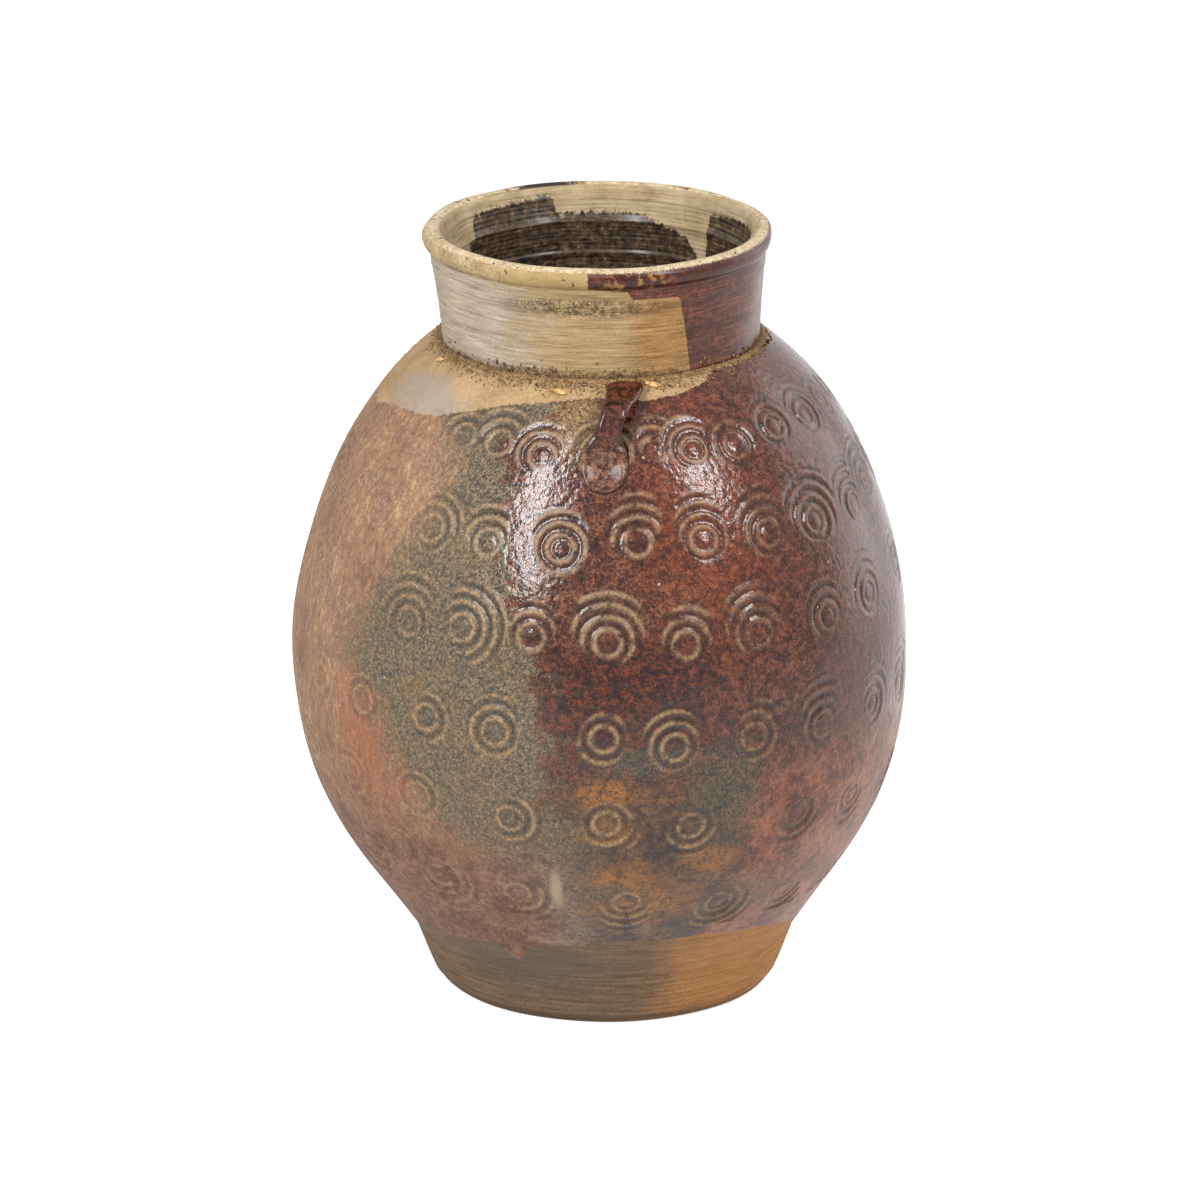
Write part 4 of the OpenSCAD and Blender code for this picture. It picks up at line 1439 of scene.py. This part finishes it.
@dataclass
class SeamLitter:
    """Crumbs and husk flakes caught in the seam round the neck."""

    profile: JarProfile
    warp: HandWarp
    crumbs: int = 1500
    seed: int = 5

    def build_crumbs(self, finish: bpy.types.Material) -> bpy.types.Object:
        """Scatter crumbs along the seam with geometry nodes.

        Args:
            finish: Material of the crumbs.

        Returns:
            The piece.
        """
        p = self.profile
        rng = np.random.default_rng(self.seed)
        share = rng.random(self.crumbs)
        dense = rng.normal(-6, 26, self.crumbs)
        turns = np.where(share < 0.55, dense, rng.uniform(-180, 180, self.crumbs))
        spread = np.where(share < 0.55, 2.6, 1.3)
        angle = np.radians(turns - VIEW_TURN)
        out = np.abs(rng.normal(0, 1, self.crumbs)) * spread
        rise = np.where(rng.random(self.crumbs) < 0.45, 1, 0)
        z = np.where(rise == 1, p.body_top + 1.0 + out * 1.5, p.body_top - 0.4 - out * 0.9)
        shoulder = p.radius(np.minimum(z, p.body_top)) + 0.2
        reach = np.where(rise == 1, p.neck_r + 0.2 + (z - p.body_top) / p.neck_h * p.neck_flare, shoulder)
        points = np.stack([reach * np.sin(angle), -reach * np.cos(angle), z], axis=1)
        mesh = bpy.data.meshes.new("seam_crumbs")
        mesh.vertices.add(self.crumbs)
        mesh.vertices.foreach_set("co", (self.warp.move(points) * MM).astype(np.float32).ravel())
        piece = new_piece("jar_seam_crumbs", mesh)
        tree = bpy.data.node_groups.new("scatter_crumbs", "GeometryNodeTree")
        tree.interface.new_socket(name="Spots", in_out="INPUT", socket_type="NodeSocketGeometry")
        keys = {}
        for name, kind in (("Smallest", "NodeSocketFloat"), ("Largest", "NodeSocketFloat"),
                           ("Seed", "NodeSocketInt"), ("Material", "NodeSocketMaterial")):
            keys[name] = tree.interface.new_socket(name=name, in_out="INPUT", socket_type=kind).identifier
        tree.interface.new_socket(name="Crumbs", in_out="OUTPUT", socket_type="NodeSocketGeometry")
        b = NodeBench(tree)
        given = {s.name: s for s in b.add("NodeGroupInput").node.outputs}
        lump = b.add("GeometryNodeMeshIcoSphere", {"Radius": 1.0, "Subdivisions": 1}, "Mesh")
        size = b.add("FunctionNodeRandomValue", {"Min": given["Smallest"], "Max": given["Largest"],
                                                 "Seed": given["Seed"]}, "Value", data_type="FLOAT")
        squash = b.add("FunctionNodeRandomValue", {"Min": (0.5, 0.5, 0.4), "Max": (1.5, 1.1, 0.9),
                                                   "Seed": given["Seed"]}, "Value", data_type="FLOAT_VECTOR")
        scale = b.add(VECTOR, {0: squash, "Scale": size}, operation="SCALE")
        turn = b.add("FunctionNodeRandomValue", {"Min": (0, 0, 0), "Max": (6.28, 6.28, 6.28),
                                                 "Seed": given["Seed"]}, "Value", data_type="FLOAT_VECTOR")
        spots = b.add("GeometryNodeMeshToPoints", {0: given["Spots"]})
        placed = b.add("GeometryNodeInstanceOnPoints", {"Points": spots, "Instance": lump, "Rotation": turn,
                                                        "Scale": scale})
        real = b.add("GeometryNodeRealizeInstances", {0: placed})
        dressed = b.add("GeometryNodeSetMaterial", {"Geometry": real, "Material": given["Material"]})
        b.add("NodeGroupOutput", {0: dressed})
        modifier = piece.modifiers.new("crumbs", "NODES")
        modifier.node_group = tree
        modifier[keys["Smallest"]] = 0.28 * MM
        modifier[keys["Largest"]] = 0.95 * MM
        modifier[keys["Seed"]] = self.seed
        modifier[keys["Material"]] = finish
        bake(piece)
        settle(piece, Slot.NECK)
        return piece

    def build_husks(self, finish: bpy.types.Material) -> bpy.types.Object:
        """Lay the husk flakes that show in the seam.

        Args:
            finish: Material of the flakes.

        Returns:
            The piece, all flakes in one mesh.
        """
        p = self.profile
        flakes = ((-13.0, -3.4, 9.2, 3.2, 12), (17.2, -0.6, 9.6, 3.4, 14), (9.8, 0.4, 9.5, 2.2, 2),
                  (-66.0, -2.0, 7.5, 2.6, -20), (118.0, -1.5, 8.5, 3.0, 25), (-150.0, -2.2, 8.0, 2.8, -12))
        points, faces = [], []
        steps, width_steps = 10, 4
        for turn, drop, long, wide, cant in flakes:
            z0 = p.body_top + drop
            reach = p.radius(np.array([min(z0, p.body_top)])).item() + 1.6
            angle = math.radians(turn - VIEW_TURN)
            radial = np.array([math.sin(angle), -math.cos(angle), 0])
            along = np.array([math.cos(angle), math.sin(angle), 0])
            up = np.array([0, 0, 0.75]) + radial * -0.65
            along = along * math.cos(math.radians(cant)) - up * math.sin(math.radians(cant))
            normal = np.cross(along, up)
            normal = normal * np.sign(np.dot(normal, radial)) / np.linalg.norm(normal)
            base = len(points)
            for layer in (0.35, -0.35):
                for i in range(steps + 1):
                    s = i / steps
                    half = wide / 2 * math.sin(math.pi * min(max(s, 0.02), 0.98)) ** 0.7
                    for j in range(width_steps + 1):
                        t = 2 * j / width_steps - 1
                        bow = 0.9 * math.sin(math.pi * s) - 0.8 * t * t * (half / (wide / 2))
                        spot = radial * reach + np.array([0, 0, z0]) + along * (s - 0.5) * long + up * t * half
                        points.append(spot + normal * (bow + layer))
            row = width_steps + 1
            sheet = (steps + 1) * row
            for i in range(steps):
                for j in range(width_steps):
                    a = base + i * row + j
                    faces.append((a, a + 1, a + row + 1, a + row))
                    faces.append((a + sheet + row, a + sheet + row + 1, a + sheet + 1, a + sheet))
            rim = [base + j for j in range(row)] + [base + i * row + row - 1 for i in range(1, steps + 1)]
            rim += [base + steps * row + j for j in range(row - 2, -1, -1)]
            rim += [base + i * row for i in range(steps - 1, 0, -1)]
            for a, b in zip(rim, rim[1:] + rim[:1]):
                faces.append((b, a, a + sheet, b + sheet))
        mesh = bpy.data.meshes.new("seam_husks")
        moved = self.warp.move(np.array(points)) * MM
        mesh.from_pydata([tuple(v) for v in moved], [], faces)
        piece = new_piece("jar_seam_husks", bmesh_tidy(mesh))
        piece.data.materials.append(finish)
        settle(piece, Slot.NECK)
        return piece


@dataclass(frozen=True)
class Studio:
    """Camera at the photograph's angle, plain pale floor and soft lamps."""

    look_at: tuple[float, float, float] = (0.0, 0.0, 0.2369)
    distance: float = 4.516
    rise: float = 18.17
    sensor: float = 36.0
    focal_px: float = 7416.0
    frame_px: float = 1200.0
    floor_size: float = 14.0
    lamp_reach: float = 2.2
    sky: float = 0.25

    def camera(self) -> None:
        """Set the camera at the photograph's viewing angle."""
        a, e = math.radians(-VIEW_TURN), math.radians(self.rise)
        toward = Vector((math.sin(a) * math.cos(e), -math.cos(a) * math.cos(e), math.sin(e)))
        data = bpy.data.cameras.new("camera")
        data.sensor_width = self.sensor
        data.lens = self.focal_px / self.frame_px * self.sensor
        data.clip_end = 50
        camera = bpy.data.objects.new("camera", data)
        bpy.context.scene.collection.objects.link(camera)
        camera.location = Vector(self.look_at) + toward * self.distance
        camera.rotation_euler = toward.to_track_quat("Z", "Y").to_euler()
        bpy.context.scene.camera = camera

    def lamp(self, name: str, azimuth: float, rise: float, wide: float, tall: float, watts: float) -> None:
        """Add a soft lamp that faces the jar.

        Args:
            name: Name of the lamp.
            azimuth: Its angle, on the same scale as the jar's.
            rise: Its height above the horizon in degrees.
            wide: Its width in metres.
            tall: Its height in metres.
            watts: Its power.
        """
        a, e = math.radians(azimuth - VIEW_TURN), math.radians(rise)
        toward = Vector((math.sin(a) * math.cos(e), -math.cos(a) * math.cos(e), math.sin(e)))
        data = bpy.data.lights.new(name, "AREA")
        data.shape = "RECTANGLE"
        data.size = wide
        data.size_y = tall
        data.energy = watts
        lamp = bpy.data.objects.new(name, data)
        bpy.context.scene.collection.objects.link(lamp)
        lamp.location = Vector(self.look_at) + toward * self.lamp_reach
        lamp.rotation_euler = toward.to_track_quat("Z", "Y").to_euler()

    @staticmethod
    def seen_rays(b: NodeBench) -> bpy.types.NodeSocket:
        """Share that is 1 for rays that see the background directly, in gloss or through a surface."""
        paths = b.add("ShaderNodeLightPath").node.outputs
        seen = b.add(MATH, {0: paths["Is Camera Ray"], 1: paths["Is Glossy Ray"]}, operation="MAXIMUM")
        return b.add(MATH, {0: seen, 1: paths["Is Transmission Ray"]}, operation="MAXIMUM")

    def build(self) -> None:
        """Build the whole studio."""
        self.camera()
        self.lamp("left_window", -29, 40, 0.27, 1.5, 42)
        self.lamp("right_window", 54, 44, 0.24, 0.85, 21)
        self.lamp("right_wall", 118, 14, 1.3, 1.8, 12)
        self.lamp("left_wall", -105, 20, 1.4, 1.6, 5)
        bpy.context.scene.view_settings.view_transform = "Standard"
        half = self.floor_size / 2
        mesh = bpy.data.meshes.new("floor")
        mesh.from_pydata([(-half, -half, 0), (half, -half, 0), (half, half, 0), (-half, half, 0)], [],
                         [(0, 1, 2, 3)])
        floor = new_piece("floor", mesh)
        material = bpy.data.materials.new("plain_pale_floor")
        material.use_nodes = True
        b = NodeBench(material.node_tree)
        ray = self.seen_rays(b)
        plain = b.add("ShaderNodeBsdfDiffuse", {"Color": srgb("#dedede")})
        glow = b.add("ShaderNodeEmission", {"Color": (1, 1, 1, 1), "Strength": 0.74})
        both = b.add("ShaderNodeAddShader", {0: plain, 1: glow})
        shown = b.add("ShaderNodeMixShader", {0: ray, 1: plain, 2: both})
        b.add("ShaderNodeOutputMaterial", {"Surface": shown})
        material.cycles.emission_sampling = "NONE"
        floor.data.materials.append(material)
        world = bpy.data.worlds.new("studio")
        bpy.context.scene.world = world
        world.use_nodes = True
        world.cycles.sampling_method = "NONE"
        b = NodeBench(world.node_tree)
        strength = b.add(MIX, {"Factor": self.seen_rays(b), "A": self.sky, "B": 1.0}, "Result",
                         data_type="FLOAT")
        light = b.add("ShaderNodeBackground", {"Color": (1, 1, 1, 1), "Strength": strength})
        b.add("ShaderNodeOutputWorld", {"Surface": light})


def main() -> None:
    """Build the jar piece by piece round the construction's frame."""
    logging.basicConfig(level=logging.INFO, format="%(message)s")
    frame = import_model()
    profile = JarProfile()
    warp = HandWarp()
    LOG.info("frame has %d nodes; profile height %.1f mm", len(frame["nodes"]), profile.height)
    Studio().build()
    glaze = IronGlaze().build()
    foot_clay = FootClay().build()
    neck_clay = NeckClay().build()
    lug_glaze = LugGlaze().build()
    dirt = SeamDirt().build()
    husk = RiceHusk().build()
    StampedWall(profile, warp).build(StampTree(), glaze)
    Foot(profile, warp).build(foot_clay, glaze)
    neck = Neck(profile, warp)
    neck.collar(neck_clay)
    neck.lip(neck_clay)
    neck.seam(dirt)
    CordLug(profile, warp, "front_lug", False).build(lug_glaze)
    CordLug(profile, warp, "back_lug", True).build(lug_glaze)
    litter = SeamLitter(profile, warp)
    litter.build_crumbs(dirt)
    litter.build_husks(husk)


if __name__ == "__main__":
    main()
